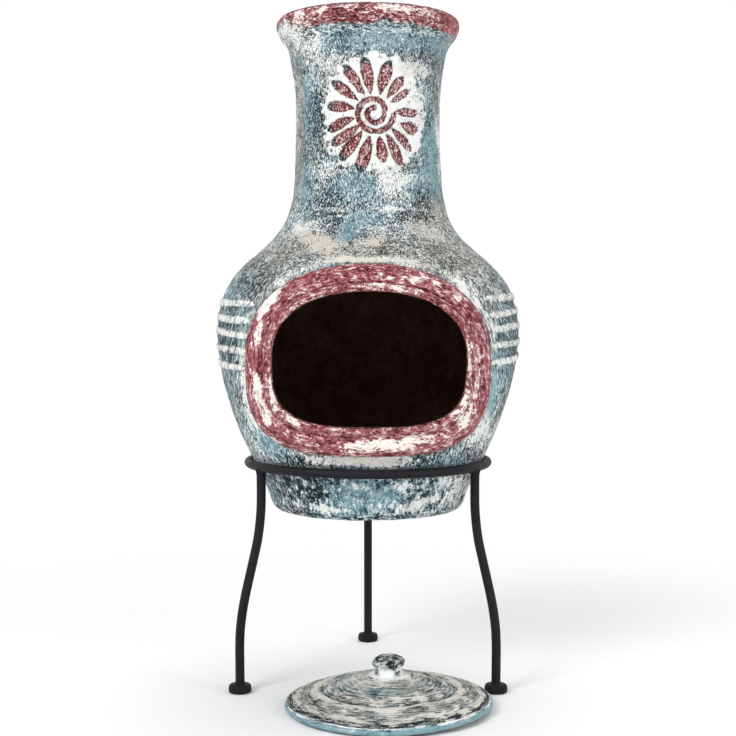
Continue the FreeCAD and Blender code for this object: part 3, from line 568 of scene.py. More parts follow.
from_sun = np.hypot(across, up) / MM
ragged = lumps(flat_neck, 12 * MM, 63) * 5 + lumps(flat_neck, 5 * MM, 64) * 3
disc = 1 - soft_step(from_sun + ragged, 58, 65)
carved = soft_step(hollow, -0.9 * MM, 0.9 * MM)
relief = (1.5 * disc - 2.6 * carved * (1 - 0.5 * worn)) * MM
neck_push = dents(flat_neck) * (1 - 0.6 * disc) + relief
neck_skin = flat_neck + turned(wall_normal(neck_z), neck_turn) * neck_push[:, None]
print("sun: deepest groove", round(-relief.min() / MM, 1), "mm below the skin")

# %% Flue and paint of the neck
flue_z = np.linspace(seam_z, NECK_TOP, 44)[::-1]
flue_rows = together(wall_radius(flue_z), flue_z) - WALL * wall_normal(flue_z)
flue_rows[:, 0] = np.maximum(flue_rows[:, 0], FLUE_RADIUS)
flue_rows[flue_z > FLUE_STRAIGHT, 0] = FLUE_RADIUS
flue_rows[[0, -1], 1] = NECK_TOP, seam_z
flue = turned(flue_rows, neck_turn)
neck_points = np.concatenate([neck_skin, flue])
paint = painted(np.concatenate([flat_neck, flue]))
skin = slice(0, len(flat_neck))
raised = disc * (1 - carved)
# Darker along the inside edges of the petals and the spiral: partly undercoat left in the grooves, partly
# painted shade of the groove walls.
groove_shade_and_undercoat = carved * bell(hollow / MM, 0.9, 0.7)
paint["patches"][skin, 1] += 0.95 * raised - 0.22 * disc * carved * (1 - worn)
paint["patches"][skin, 2] += 1.3 * carved * tips + 0.85 * groove_shade_and_undercoat - 0.5 * raised
paint["manner"][skin, 0] += 0.45 * raised
neck_red = np.zeros(len(neck_points))
neck_red[skin] = carved * (1 - 0.9 * tips) * (1 - 0.45 * worn) * (from_sun < 66)
neck_faces = face_grid(len(neck_z) + len(flue_z), len(neck_turn), closed=True)
neck = make_piece("clay_neck", neck_points, neck_faces, strokes=strokes_up(neck_points), red=neck_red,
                  soot=np.repeat([0.0, 1.0], [len(flat_neck), len(flue)]), **paint)

# %% [markdown]
# ## The rim
# The neck ends in a thick roll, folded outward by hand. A closed outline carried round the axis makes
# it, and slow waves keep it from looking turned by a machine.

# %% Rolled rim
RIM_OUTLINE = [
    (84, 701), (88.6, 705), (91.4, 710.5), (95.4, 715.5), (98.9, 719.5), (101.4, 724.5), (102.9, 730),
    (102.4, 735), (99, 738.9), (93, 740.7), (85, 740.2), (76, 737.4), (69, 732), (66.4, 724),
    (66.4, 712), (70, 702),
]
ROLL_MIDDLE = np.array([84, 722]) * MM
RIM_WEAR = [
    (24, 733, 20, 5, 0.9), (54, 731, 22, 5, 0.8, -6), (-80, 722, 22, 12, 0.9, 30),
    (-24, 734, 26, 2.5, 0.4), (84, 722, 10, 5, 0.4, -20), (-52, 731, 14, 3, 0.5, 14),
]
RUBBED_OFF = [(-97, 720, 16, 11, 1, 30), (-78, 716, 16, 6, 0.6, 20)]
rim_rows, rim_turn = outline(RIM_OUTLINE, 84, closed=True), full_turn(420)
rim_points = turned(rim_rows, rim_turn)
reach = np.hypot(rim_points[:, 0], rim_points[:, 1])
free = soft_step(rim_points[:, 2], 0.708, 0.722) * soft_step(reach, 0.066, 0.08)
rim_push = (0.8 * dents(rim_points) - 0.5 * MM) * free
rim_points = rim_points + turned(unit(rim_rows - ROLL_MIDDLE), rim_turn) * rim_push[:, None]
print("rim: pushed out by up to", round(rim_push.max() / MM, 1), "mm")

# %% Paint of the rim
z, reach = rim_points[:, 2], np.hypot(rim_points[:, 0], rim_points[:, 1])
paint = painted(rim_points)
red_edge = 0.7185 + 0.002 * lumps(rim_points, 30 * MM, 71) + 0.0012 * lumps(rim_points, 6 * MM, 73)
rubbed_off = dabs(rim_points, RUBBED_OFF)
rim_red = soft_step(z, red_edge - 1.5 * MM, red_edge + 1.5 * MM) * soft_step(reach, 0.074, 0.084)
rim_red *= 1 - np.clip(rubbed_off, 0, 1)
upper_half = soft_step(z, 0.7285, 0.7335) * (1 - soft_step(z, 0.7370, 0.7390))
rim_white = dabs(rim_points, RIM_WEAR) + 0.30 * lumps(rim_points, 22 * MM, 72) + 0.42 * upper_half - 0.18
paint["patches"][:, 1] += 0.9 * rubbed_off
paint["patches"][:, 1] += rim_red * (rim_white - paint["patches"][:, 1])
paint["patches"][:, 2] *= 1 - 0.5 * rim_red
paint["patches"][:, 2] += rim_red * (0.9 * soft_step(z, 0.7365, 0.7385) + 0.30 * upper_half)
paint["manner"][:, 0] += 0.3 * rim_red
rim_grid = len(rim_rows), len(rim_turn)
section_step = np.linalg.norm(rim_rows[1] - rim_rows[0])
rim_way = np.repeat(np.arange(len(rim_rows)) * section_step, len(rim_turn))
rim = make_piece("clay_rim", rim_points, face_grid(*rim_grid, closed=True),
                 strokes=strokes_round(*rim_grid, 0.62, rim_way, 2.2),
                 soot=1 - soft_step(reach, 0.068, 0.080), red=rim_red, **paint)

# %% [markdown]
# ## The band round the mouth
# The band is a fat coil of clay laid round the mouth and pressed flat, with a finger's groove near
# the opening and a lip that turns in through the wall. Its cross-section is carried along the oval.
# Across the front the section runs from the mouth's outline to the band's outline, and stands off the
# belly along the belly's own normal. Through the wall it runs straight back.

# %% Band
BAND_STEPS = 460
BAND_WIDTH = 28
COIL = [
    (1.04, -3), (1, 0), (0.975, 2.6), (0.92, 4.9), (0.82, 6.7), (0.68, 7.6), (0.53, 7.4), (0.41, 6.3),
    (0.33, 4.6), (0.29, 4), (0.25, 4.5), (0.19, 5.7), (0.11, 6.2), (0.04, 5.3), (0, 3.2),
]
coil = weighed_line(COIL, BAND_WIDTH, 58)
mouth_line, band_line = oval(MOUTH, BAND_STEPS), oval(BAND, BAND_STEPS)


def on_belly(x, z, height):
    """The point of the belly's front with that x and z, moved out along the normal, and that normal."""
    radius = wall_radius(z)
    y = -np.sqrt(np.maximum(radius ** 2 - x ** 2, 0))
    normal = unit(together(x / radius, y / radius, -wall_slope(z)))
    return together(x, y, z) + normal * height[..., None], normal


flat = mouth_line + (band_line - mouth_line) * coil[:, :1, None]
face, face_normal = on_belly(flat[..., 0], flat[..., 1], coil[:, 1:] * MM)
face_push = dents(face.reshape(-1, 3)).reshape(face.shape[:2]) * np.clip(coil[:, 1:] / 6, 0, 1)
face = face + face_normal * (1.1 * face_push - 0.2 * MM)[..., None]
print("band: stands", round(coil[:, 1].max(), 1), "mm off the belly")

# %% Lip of the band, through the wall
WALL_DEPTH = 20
# share of the way through the wall, and how far out of the mouth, in mm
REVEAL = [
    (0.06, -0.5), (0.2, -0.9), (0.4, -1), (0.6, -0.9), (0.8, -0.4), (0.95, 0.6), (1.05, 3), (1, 8),
    (0.7, 10),
]
edge = face[-1]
deep_radius = wall_radius(edge[:, 2]) - 1.06 * WALL
deep_y = -np.sqrt(deep_radius ** 2 - np.minimum(np.abs(edge[:, 0]), 0.104) ** 2)
through, out = weighed_line(REVEAL, WALL_DEPTH, 22).T[..., None]
out_of_mouth = unit(band_line - mouth_line).T * MM
reveal = together(edge[:, 0] + out_of_mouth[0] * out, edge[:, 1] + (deep_y - edge[:, 1]) * through,
                  edge[:, 2] + out_of_mouth[1] * out)
band_points = np.concatenate([face, reveal]).reshape(-1, 3)
band_rows = len(face) + len(reveal)

# %% Paint of the band
BAND_WEAR = [
    (-101, 425, 6, 24, 1.3, -38), (-114, 392, 5, 18, 1.2, -8), (-116, 332, 5, 20, 1.4, 6),
    (-108, 306, 6, 16, 1.1, 14), (24, 446, 6, 3, 0.9), (46, 445, 7, 5, 0.9), (92, 428, 8, 5, 1, -40),
    (2, 274, 34, 8, 1), (42, 278, 30, 7, 0.6, 8), (-50, 280, 20, 5, 0.4, -6), (78, 286, 14, 8, 0.4, 20),
    (113, 345, 7, 34, 0.3), (106, 315, 8, 26, 0.7, -12), (-70, 446, 14, 4, 0.4, 24),
    (100, 300, 8, 10, 0.6), (70, 441, 5, 4, 0.8, -20),
]
LIP_WEAR = [
    (50, 436, 50, 5, 0.5, -8), (-20, 438, 30, 4, 0.4), (103, 372, 7, 60, 0.3),
    (-60, 425, 22, 7, 0.3, 25), (98, 320, 10, 24, 0.35), (-98, 330, 5, 36, 0.9),
    (-80, 300, 16, 5, 0.7, -40),
]
share = np.repeat(np.concatenate([coil[:, 0], np.full(len(reveal), -0.1)]), BAND_STEPS)
x, y, z = band_points.T
on_lip = (1 - soft_step(share, 0.24, 0.30)) * soft_step(share, -0.06, 0.03)
# crease is painted shade: darker in the finger groove, broken up and strongest over the top of the mouth,
# and along the band's outer edge where it meets the belly.
broken = 0.35 + 0.5 * soft_step(z, 0.40, 0.44) + 0.4 * lumps(band_points, 18 * MM, 82)
crease = bell(share, 0.29, 0.03) * np.clip(broken, 0, 1) + 0.6 * bell(share, 1.0, 0.03)
front_edge = bell(share, 0.0, 0.03)
band_white = 0.02 + (1 - on_lip) * dabs(band_points, BAND_WEAR) + 0.20 * lumps(band_points, 26 * MM, 81)
band_white += on_lip * (0.12 + dabs(band_points, LIP_WEAR)) - 0.4 * crease
band_blue = painted(band_points)["patches"][:, 0]
bare = soft_step(share, 0.975, 1.0)
behind_edge = y - np.tile(edge[:, 1], band_rows)
band = make_piece("clay_mouth_band", band_points, face_grid(band_rows, BAND_STEPS, closed=True),
                  strokes=strokes_round(band_rows, BAND_STEPS, 0.68, share * BAND_WIDTH * MM, 3.2),
                  soot=soft_step(behind_edge, 4 * MM, 14 * MM) * (share < 0),
                  red=(1 - bare) * (1 - 0.25 * front_edge),
                  patches=together(band_blue, band_white + 0.25 * front_edge, 0.3 + crease),
                  manner=together(0.80, 0.0, 0.5 * front_edge))

# %% [markdown]
# ## The ribs
# Five coils on each side were pressed on by hand and painted white. Each one is a half-round bar that
# starts beside the band, climbs a little and thins out behind the widest part of the belly.

# %% One rib
RIB_STEPS, RIB_SECTION = 130, 16
rib_turn = full_turn(RIB_SECTION, 0)


def rib(start, height, seed):
    """Points of one bar: an oval section, mostly above the skin, carried round the belly.

    The way along runs from 0 at the band to 1 behind. The bar climbs 5 mm, is thin at both ends by the
    root of a sine, and its width and height vary a little.
    """
    along = np.linspace(0, 1, RIB_STEPS)[:, None]
    finish = 112 + 3 * math.sin(seed)
    angle = np.radians(abs(start) + (finish - abs(start)) * along) * math.copysign(1, start)
    taper = np.clip(along / 0.05, 0, 1) ** 0.6 * np.clip((1 - along) / 0.12, 0, 1) ** 0.5
    climb = 5.5 * np.sin(math.pi / 2 * np.clip(along * 1.25, 0, 1)) + 0.7 * np.sin(7 * along + seed)
    half = (4.2 + 0.4 * np.sin(11 * along + 2 * seed) + 0.3 * np.sin(47 * along + seed)) * MM * taper
    z = (height + climb) * MM + half * np.sin(rib_turn)
    proud = (2.3 + 0.2 * np.sin(9 * along + seed)) * MM * taper
    lift = proud * np.abs(np.cos(rib_turn)) ** 0.7 * np.sign(np.cos(rib_turn))
    radius = wall_radius(z) + np.where(lift > 0, lift, lift * 1.4) - 0.3 * MM
    rough = lumps(around(angle, radius, z).reshape(-1, 3), 7 * MM, 95).reshape(radius.shape)
    rough = 0.3 * MM * rough * (lift > 0) * taper
    return around(angle, radius + rough, z + rough).reshape(-1, 3)

# %% Ribs of both sides
# where each starts: degrees from the mouth and to the right, and height in mm
LEFT_RIBS = [(-45.5, 419.7), (-47.5, 403.0), (-47.5, 387.1), (-48.5, 369.5), (-51, 352.0)]
RIGHT_RIBS = [(47, 426.0), (49, 409.5), (50.5, 393.4), (51, 376.0), (51, 358.4)]


def ribs(name, places):
    """The bars of one side as one piece: white on top, and darker down their flanks."""
    bars = [rib(*place, 1.7 * k + len(name)) for k, place in enumerate(places)]
    one = face_grid(RIB_STEPS, RIB_SECTION)
    faces = np.concatenate([one + k * RIB_STEPS * RIB_SECTION for k in range(len(bars))])
    points = np.concatenate(bars)
    paint = painted(points)
    # Darker down the flanks: partly the white brushed only over the tops, partly painted shade beneath each
    # bar.
    flank_shade_and_undercoat = np.tile(1 - np.clip(np.cos(rib_turn), 0, 1), RIB_STEPS * len(bars))
    paint["patches"] = paint["patches"] * 0.3 + [0.2, 0.98, 0.0] + flank_shade_and_undercoat[:, None] * [0, -0.7, 0.5]
    paint["manner"] = paint["manner"] * 0.2 + [0.25, 0.1, 0.0]
    return make_piece(name, points, faces, strokes=strokes_up(points), **paint)


ribs_left = ribs("clay_ribs_left", LEFT_RIBS)
ribs_right = ribs("clay_ribs_right", RIGHT_RIBS)

# %% [markdown]
# ## The sand
# Sand in the bottom keeps the fire off the clay. It is a disc whose top is raked by hand, so it gets
# slow waves and small heaps.

# %% Sand bed
SAND_DIP = 3.2 * MM
sand_low, sand_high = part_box("sand_bed")
sand_reach = (sand_high.x - 0.5 * MM) * np.linspace(0, 1, 46)
sand_rows = np.vstack([together(sand_reach, sand_high.z - SAND_DIP),
                       [[sand_reach[-1] * 0.93, sand_low.z + 30 * MM], [80 * MM, sand_low.z],
                        [0, sand_low.z]]])
sand_turn = full_turn(150)
sand_points = turned(sand_rows, sand_turn)
heaps = lumps(sand_points, 45 * MM, 91) * 1.5 + lumps(sand_points, 14 * MM, 92) * 0.6
on_top = np.repeat(np.arange(len(sand_rows)) < len(sand_reach) - 1, len(sand_turn))
sand_points[:, 2] += heaps * MM * on_top
sand = make_piece("sand_heap", sand_points, face_grid(len(sand_rows), len(sand_turn)))

# %% [markdown]
# ## The lid
# The lid lies on the ground beside the stand. It is thrown on a wheel: a low dome, a crease, a wide
# edge with the throwing rings still in it, and a knob pushed on by hand. The kiln has bent it a
# little, so one side stands higher.

# %% Lid
LID_OUTLINE = [
    (0, 35.6), (10, 35.5), (20, 34.7), (30, 32.9), (42, 29.6), (53, 25.6), (61.5, 22.2), (66.8, 19.8),
    (68.7, 18.7), (70.6, 19.5), (74, 20.3), (79, 19.5), (84, 17.6), (88, 16.4), (92, 15.2), (97, 13),
    (101.5, 11), (105.2, 8.8), (107.6, 6.6), (108.5, 4.6), (107.6, 2.2), (104.6, 0.9), (100, 0.8),
    (94, 2.4), (84, 6.4), (70, 11), (50, 17), (30, 21.6), (12, 24), (0, 24.4),
]
LID_COLUMNS = 400
# how many rows from the middle lie on the outside, before the outline turns under
OUTSIDE_ROWS = 118
lid_place = centre_of("lid_dome")
lid_place.z = 0
lid_rows = outline(LID_OUTLINE, 190)
lid_grid = len(lid_rows), LID_COLUMNS
lid_points = turned(lid_rows, full_turn(LID_COLUMNS))
x, y, z = lid_points.T
lid_reach = np.hypot(x, y)
throwing = np.sin(lid_reach / MM * 0.9 + 2 * lumps(lid_points, 60 * MM, 31))
z += 0.22 * MM * throwing * soft_step(lid_reach, 0.02, 0.05) * soft_step(z, 0.003, 0.008)
z += dents(lid_points) * soft_step(z, 0.003, 0.010) * soft_step(lid_reach, 0.0, 0.03)
z += 4.0 * MM * (lid_reach / 0.109) ** 2 * soft_step(x, -0.03, 0.13)
print("lid: highest edge", round(z[lid_reach > 0.1].max() / MM, 1), "mm off the ground")

# %% Paint of the lid
lid_wave = [lumps(lid_points, 60 * MM, seed) for seed in (41, 42, 43)]


def rings(*places):
    """Sum of painted rings, each (radius, half width, strength) in mm. Only a ring with a 0 after
    those is quite round, and the others drift in and out a little.
    """
    return sum(strength * bell(lid_reach / MM + 3.5 * lid_wave[0] * all(still), radius, half)
               for radius, half, strength, *still in places)


lid_white = 0.12 + rings((24, 12, 0.5), (60, 4, 0.3), (76, 4, 0.8), (97, 3, 0.5), (106.4, 0.9, 0.7, 0))
lid_white += 0.34 * lid_wave[1] + 0.3 * lumps(lid_points, 24 * MM, 44)
lid_cream = 0.1 + rings((30, 10, 0.6), (61, 4, 0.5), (75.5, 5, 1.3), (97, 4, 0.8)) + 0.35 * lid_wave[2]
lid_blue = 0.15 + rings((46, 9, 0.8), (86, 4, 0.4), (108.6, 2.2, 1.5, 0)) + 0.3 * lid_wave[2]
# The dark ring at 68.7 mm sits in the crease between the dome and the edge: painted shade.
lid_dark = 0.08 + rings((49, 7, 0.4), (68.7, 1.3, 1.2), (76, 4, -0.4), (86, 4, 0.3), (103, 2.2, 2.0, 0))
lid_dark += 0.3 * lid_wave[1]
lid_dusty = 0.65 + rings((25, 12, 0.3), (90, 5, 0.3), (108.6, 2.5, -1.4, 0)) + 0.25 * lid_wave[0]
lid_calm = 0.78 + rings((17, 4, 0.4), (50, 6, -0.2), (76, 4, 0.4), (97, 3, 0.2), (102.5, 2.5, -1.0),
                        (108.6, 2.0, 0.7, 0))
by_knob = bell(lid_reach, 0.016, 0.005)
under = np.repeat(np.arange(len(lid_rows)) >= OUTSIDE_ROWS, LID_COLUMNS)
lid_way = np.repeat(distances(lid_rows), LID_COLUMNS)
lid_length = 2 * math.pi * np.maximum(lid_reach, 0.012)
lid = make_piece("clay_lid", lid_points + lid_place, face_grid(*lid_grid), soot=0.3 * under,
                 strokes=1.3 * strokes_round(*lid_grid, lid_length, lid_way, 8.0),
                 patches=together(lid_blue, lid_white + 1.2 * by_knob, lid_dark - by_knob),
                 manner=together(lid_calm + by_knob, lid_cream - 0.6 * by_knob, lid_dusty))

# %% Knob
KNOB_OUTLINE = [
    (0, -2), (9, -2), (15.2, -1.2), (14.6, 1.6), (13.9, 4.5), (14.2, 7), (15.8, 9.2), (16.9, 11.6),
    (16.4, 14.4), (13.6, 17.4), (9, 19.4), (4, 20.2), (0, 20.3),
]
knob_place = centre_of("lid_dome")
knob_place.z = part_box("lid_dome")[1].z - 0.4 * MM
knob_rows, knob_turn = outline(KNOB_OUTLINE, 64), full_turn(110)
knob_points = turned(knob_rows, knob_turn)
x, y, z = knob_points.T
head = soft_step(z, 0.004, 0.012)
lump = (lumps(knob_points, 22 * MM, 51) * 0.9 + lumps(knob_points, 8 * MM, 52) * 0.4) * head
knob_points[:, :2] *= 1 + 0.045 * lump[:, None]
z += 0.055 * x * head + 0.45 * MM * lump - 0.6 * MM * head
spots = lumps(knob_points, 12 * MM, 53)
knob_under = head * (1 - soft_step(z, 0.009, 0.013))
knob_dark = (0.5 - 0.8 * spots) * head - 0.4 * knob_under
knob = make_piece("clay_knob", knob_points + knob_place, face_grid(len(knob_rows), len(knob_turn)),
                  strokes=knob_points * [0.4, 0.4, 0.8],
                  patches=together(0.5 + 0.7 * knob_under, 1.1 - 0.7 * head + 0.7 * spots, knob_dark),
                  manner=together(0.9 - 0.7 * head, 0.6 * head, 0.0))

# %% [markdown]
# ## The iron stand
# The stand is a ring of round bar with three bent legs welded under it, each with a black cap on its
# foot. A bar is a circle carried along a smooth path. A curve with a bevel would do it too, but here
# the bar thickens at the weld, and a computed surface can do that along its length.

# %% Ring of the stand
ROD = 5 * MM
rod_turn = full_turn(28, 0)
ring_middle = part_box("stand_ring")[1].x - ROD, centre_of("stand_ring").z
ring_rows = together(*ring_middle) + ROD * together(np.cos(rod_turn), np.sin(rod_turn))
ring_turn = full_turn(240)
ring_points = turned(ring_rows, ring_turn)
ring_points[:, 2] += 0.3 * MM * lumps(ring_points, 160 * MM, 11)
stand_ring = make_piece("iron_ring", ring_points, face_grid(len(rod_turn), len(ring_turn), closed=True))

# %% Legs
LEG_PATH = [
    (134.6, 240.6), (134.5, 232), (134.4, 216), (134.8, 198), (136.2, 182), (139.2, 163), (143.6, 145),
    (148.7, 125), (153.5, 106), (157.4, 87), (159.9, 68), (160.7, 50), (160.6, 30), (160.4, 6),
]


def leg(name, foot_node):
    """A bar along the leg's path: at each step a circle square to the path, in the leg's own plane.

    The circle swells near the weld at the top, and shrinks to a point at both ends.
    """
    foot = centre_of(foot_node)
    heading = math.atan2(foot.x, -foot.y)
    path = outline(LEG_PATH, 150)
    tangent = unit(np.gradient(path, axis=0))
    from_weld = np.linspace(0, distances(path)[-1], len(path))
    radius = ROD * (1 + 0.22 * bell(from_weld, 0, 3.2 * MM))
    radius = np.concatenate([[0], radius, [0]])[:, None]
    path, tangent = [np.vstack([line[:1], line, line[-1:]]) for line in (path, tangent)]
    away = path[:, :1] - tangent[:, 1:] * radius * np.cos(rod_turn)
    rise = path[:, 1:] + tangent[:, :1] * radius * np.cos(rod_turn)
    beside = radius * np.sin(rod_turn)
    x = away * math.sin(heading) + beside * math.cos(heading)
    y = -away * math.cos(heading) + beside * math.sin(heading)
    return make_piece(name, together(x, y, rise).reshape(-1, 3), face_grid(len(path), len(rod_turn)))


SIDES = ("left", "right", "back")
legs = {side: leg(f"iron_leg_{side}", f"foot_{side}") for side in SIDES}

# %% Caps under the feet
CAP_OUTLINE = [
    (0, 0), (8, 0), (10.8, 0.15), (12, 0.9), (12.4, 2.3), (12.3, 5.6), (12, 7.2), (11.2, 8.4),
    (9.4, 9.2), (7.4, 9.6), (6.2, 9.8), (5.6, 10.4), (0, 10.4),
]


def foot_cap(name, foot_node):
    """The cap of one foot: its outline turned round, and set under the leg, on the ground."""
    place = centre_of(foot_node)
    place.z = 0
    rows, cap_turn = outline(CAP_OUTLINE, 60), full_turn(56)
    rows[:, 1] = np.maximum(rows[:, 1], 0)
    return make_piece(name, turned(rows, cap_turn) + place, face_grid(len(rows), len(cap_turn)))


caps = {side: foot_cap(f"cap_{side}", f"foot_{side}") for side in SIDES}

# %% [markdown]
# ## Finishes
# A material here is a small network of nodes. A few helpers keep the networks readable: one adds a
# node and plugs in its inputs, one blends two colours, and one turns a value into a soft mask. An
# output knows which tree it is in, so most helpers need no more than the outputs they work on.

# %% Node helpers
def plug(node, inputs):
    """Fills a node's inputs. Each is a plain value, or another node's output, which gets linked."""
    for key, value in inputs.items():
        if isinstance(value, bpy.types.NodeSocket):
            node.id_data.links.new(value, node.inputs[key])
        else:
            node.inputs[key].default_value = value


def add(tree, kind, inputs=None, **settings):
    """Adds a node with its settings and inputs."""
    node = tree.nodes.new("ShaderNode" + kind)
    for key, value in settings.items():
        setattr(node, key, value)
    plug(node, inputs or {})
    return node


def calc(operation, *values):
    """Result of one Math node, in the tree that its first linked value belongs to."""
    tree = next(value.id_data for value in values if isinstance(value, bpy.types.NodeSocket))
    return add(tree, "Math", dict(enumerate(values)), operation=operation).outputs[0]


def times(first, second):
    """First times second."""
    return calc("MULTIPLY", first, second)


def sum_of(base, *terms):
    """Base plus each value times its factor."""
    for value, factor in terms:
        base = calc("MULTIPLY_ADD", value, factor, base)
    return base

# %% Colours, masks, noise and bumps
def blend(amount, under, over):
    """Colour that is under where amount is 0 and over where it is 1."""
    under, over = [(*colour, 1.0) if isinstance(colour, np.ndarray) else colour for colour in (under, over)]
    return add(amount.id_data, "Mix", {0: amount, 6: under, 7: over}, data_type="RGBA").outputs[2]


def mask(value, low, high):
    """Soft edge: 0 below low, 1 above high. With low above high it runs the other way."""
    inputs = {"Value": value, "From Min": low, "From Max": high}
    return add(value.id_data, "MapRange", inputs, interpolation_type="SMOOTHSTEP").outputs[0]


def noise(vector, size, detail=3.0, roughness=0.6, twist=0.0):
    """Noise whose blobs are about that size in metres, bent by twist. Its values lie round 0.5."""
    inputs = {"Vector": vector, "Scale": 1 / size, "Detail": detail, "Roughness": roughness}
    return add(vector.id_data, "TexNoise", {**inputs, "Distortion": twist}).outputs[0]


def bump(height, distance, strength=1.0, **settings):
    """Normal of a skin that rises by that distance where height is 1."""
    inputs = {"Height": height, "Distance": distance, "Strength": strength}
    return add(height.id_data, "Bump", inputs, **settings).outputs[0]


def stored(tree, name, output="Vector"):
    """An attribute that the mesh carries."""
    return add(tree, "Attribute", attribute_name=name).outputs[output]


def object_place(tree):
    """Place on the object, in metres."""
    return add(tree, "TexCoord").outputs["Object"]


def parts(vector):
    """The three numbers of a vector."""
    return add(vector.id_data, "SeparateXYZ", {0: vector}).outputs

# %% New materials and groups
def new_material(name):
    """A material with its node tree and its Principled shader."""
    material = bpy.data.materials.new(name)
    material.use_nodes = True
    return material, material.node_tree, material.node_tree.nodes["Principled BSDF"]


def new_group(name, inputs, outputs):
    """Node group with sockets of those names, each with its kind. Returns it with its two ends."""
    group = bpy.data.node_groups.new(name, "ShaderNodeTree")
    for way, sockets in (("INPUT", inputs), ("OUTPUT", outputs)):
        for label, kind in sockets.items():
            group.interface.new_socket(label, in_out=way, socket_type="NodeSocket" + kind)
    return group, group.nodes.new("NodeGroupInput").outputs, group.nodes.new("NodeGroupOutput")

# %% [markdown]
# ## Dry brushing
# The painter drags a nearly dry brush over rough clay. Paint stays on the ridges, and the hollows
# keep the dark undercoat. So one rough height field decides both: its highest points take the pale
# paint, its lowest stay dark, and the same field makes the bump. The field mixes noise drawn out
# along the strokes with round noise, and thin cracks where another noise crosses its middle value.
# Small chips, pale or dark and with crisp edges, lie over the whole.

# %% Brushed clay group
def brushed_clay():
    """Group: stroke coordinates and place in, the rough skin, flecks, slow blotches, fine grain and
    chips out. Chips are 1 in small crisp pale spots, -1 in small crisp dark ones and 0 between.
    """
    labels = ("Skin", "Flecks", "Blotches", "Fine", "Chips")
    group, given, out = new_group("brushed_clay", {"Strokes": "Vector", "Place": "Vector"},
                                  {label: "Float" for label in labels})
    strokes, place = given["Strokes"], given["Place"]

    def shifted(*by):
        """The stroke coordinates moved, so that a noise on them is a new one."""
        return add(group, "VectorMath", {0: strokes, 1: by}).outputs[0]

    streaks = noise(strokes, 1.9 * MM, 3.0, 0.60, 0.4)
    pits = noise(place, 1.5 * MM, 3.0, 0.62, 0.4)
    mixed = sum_of(0.0, (pits, 0.3), (streaks, 0.7))
    line = noise(strokes, 4.0 * MM, 2.0, 0.55, 0.9)
    off_line = calc("ABSOLUTE", calc("SUBTRACT", line, 0.5))
    crack = mask(off_line, 0.030, 0.008)
    flecks = noise(shifted(0.7, 0.3, 0.5), 2.6 * MM, 4.0, 0.68, 0.6)
    spots = noise(shifted(0.2, 0.9, 0.4), 3.4 * MM, 3.0, 0.60, 0.8)
    pale, dark = mask(spots, 0.575, 0.625), mask(spots, 0.425, 0.375)
    plug(out, {
        "Skin": sum_of(mask(mixed, 0.34, 0.66), (crack, -0.56)),
        "Flecks": mask(flecks, 0.34, 0.66),
        "Blotches": mask(noise(place, 17 * MM, 5.0, 0.62, 0.6), 0.3, 0.7),
        "Fine": mask(noise(place, 0.9 * MM, 2.0, 0.6), 0.3, 0.7),
        "Chips": calc("SUBTRACT", pale, dark),
    })
    return group


BRUSHED = brushed_clay()
print("brushed clay:", len(BRUSHED.nodes), "nodes")

# %% [markdown]
# ## Layers of paint
# At every point the paint has one tone, from the dark undercoat through a deep and a middle colour to
# the pale paint on the ridges. The patches choose which deep, middle and pale colours are used, and
# move the tone up or down. The skin then spreads the tone, so no patch is ever one flat colour.

# %% Colours of the paint
UNDERCOAT, RED_UNDER = tint(25, 32, 35), tint(60, 20, 22)
DEEP_GREY, DEEP_BLUE = tint(82, 93, 96), tint(76, 102, 110)
DEEP_DUST, DEEP_RED = tint(92, 96, 89), tint(116, 54, 59)
GREY, BLUE, DUST, RED = tint(146, 155, 157), tint(128, 161, 170), tint(154, 156, 149), tint(162, 98, 104)
PALE, CREAMY, ROSE = tint(236, 237, 234), tint(217, 213, 204), tint(239, 224, 219)
SOOT, SOOTY_BROWN = tint(66, 43, 35), tint(112, 88, 74)

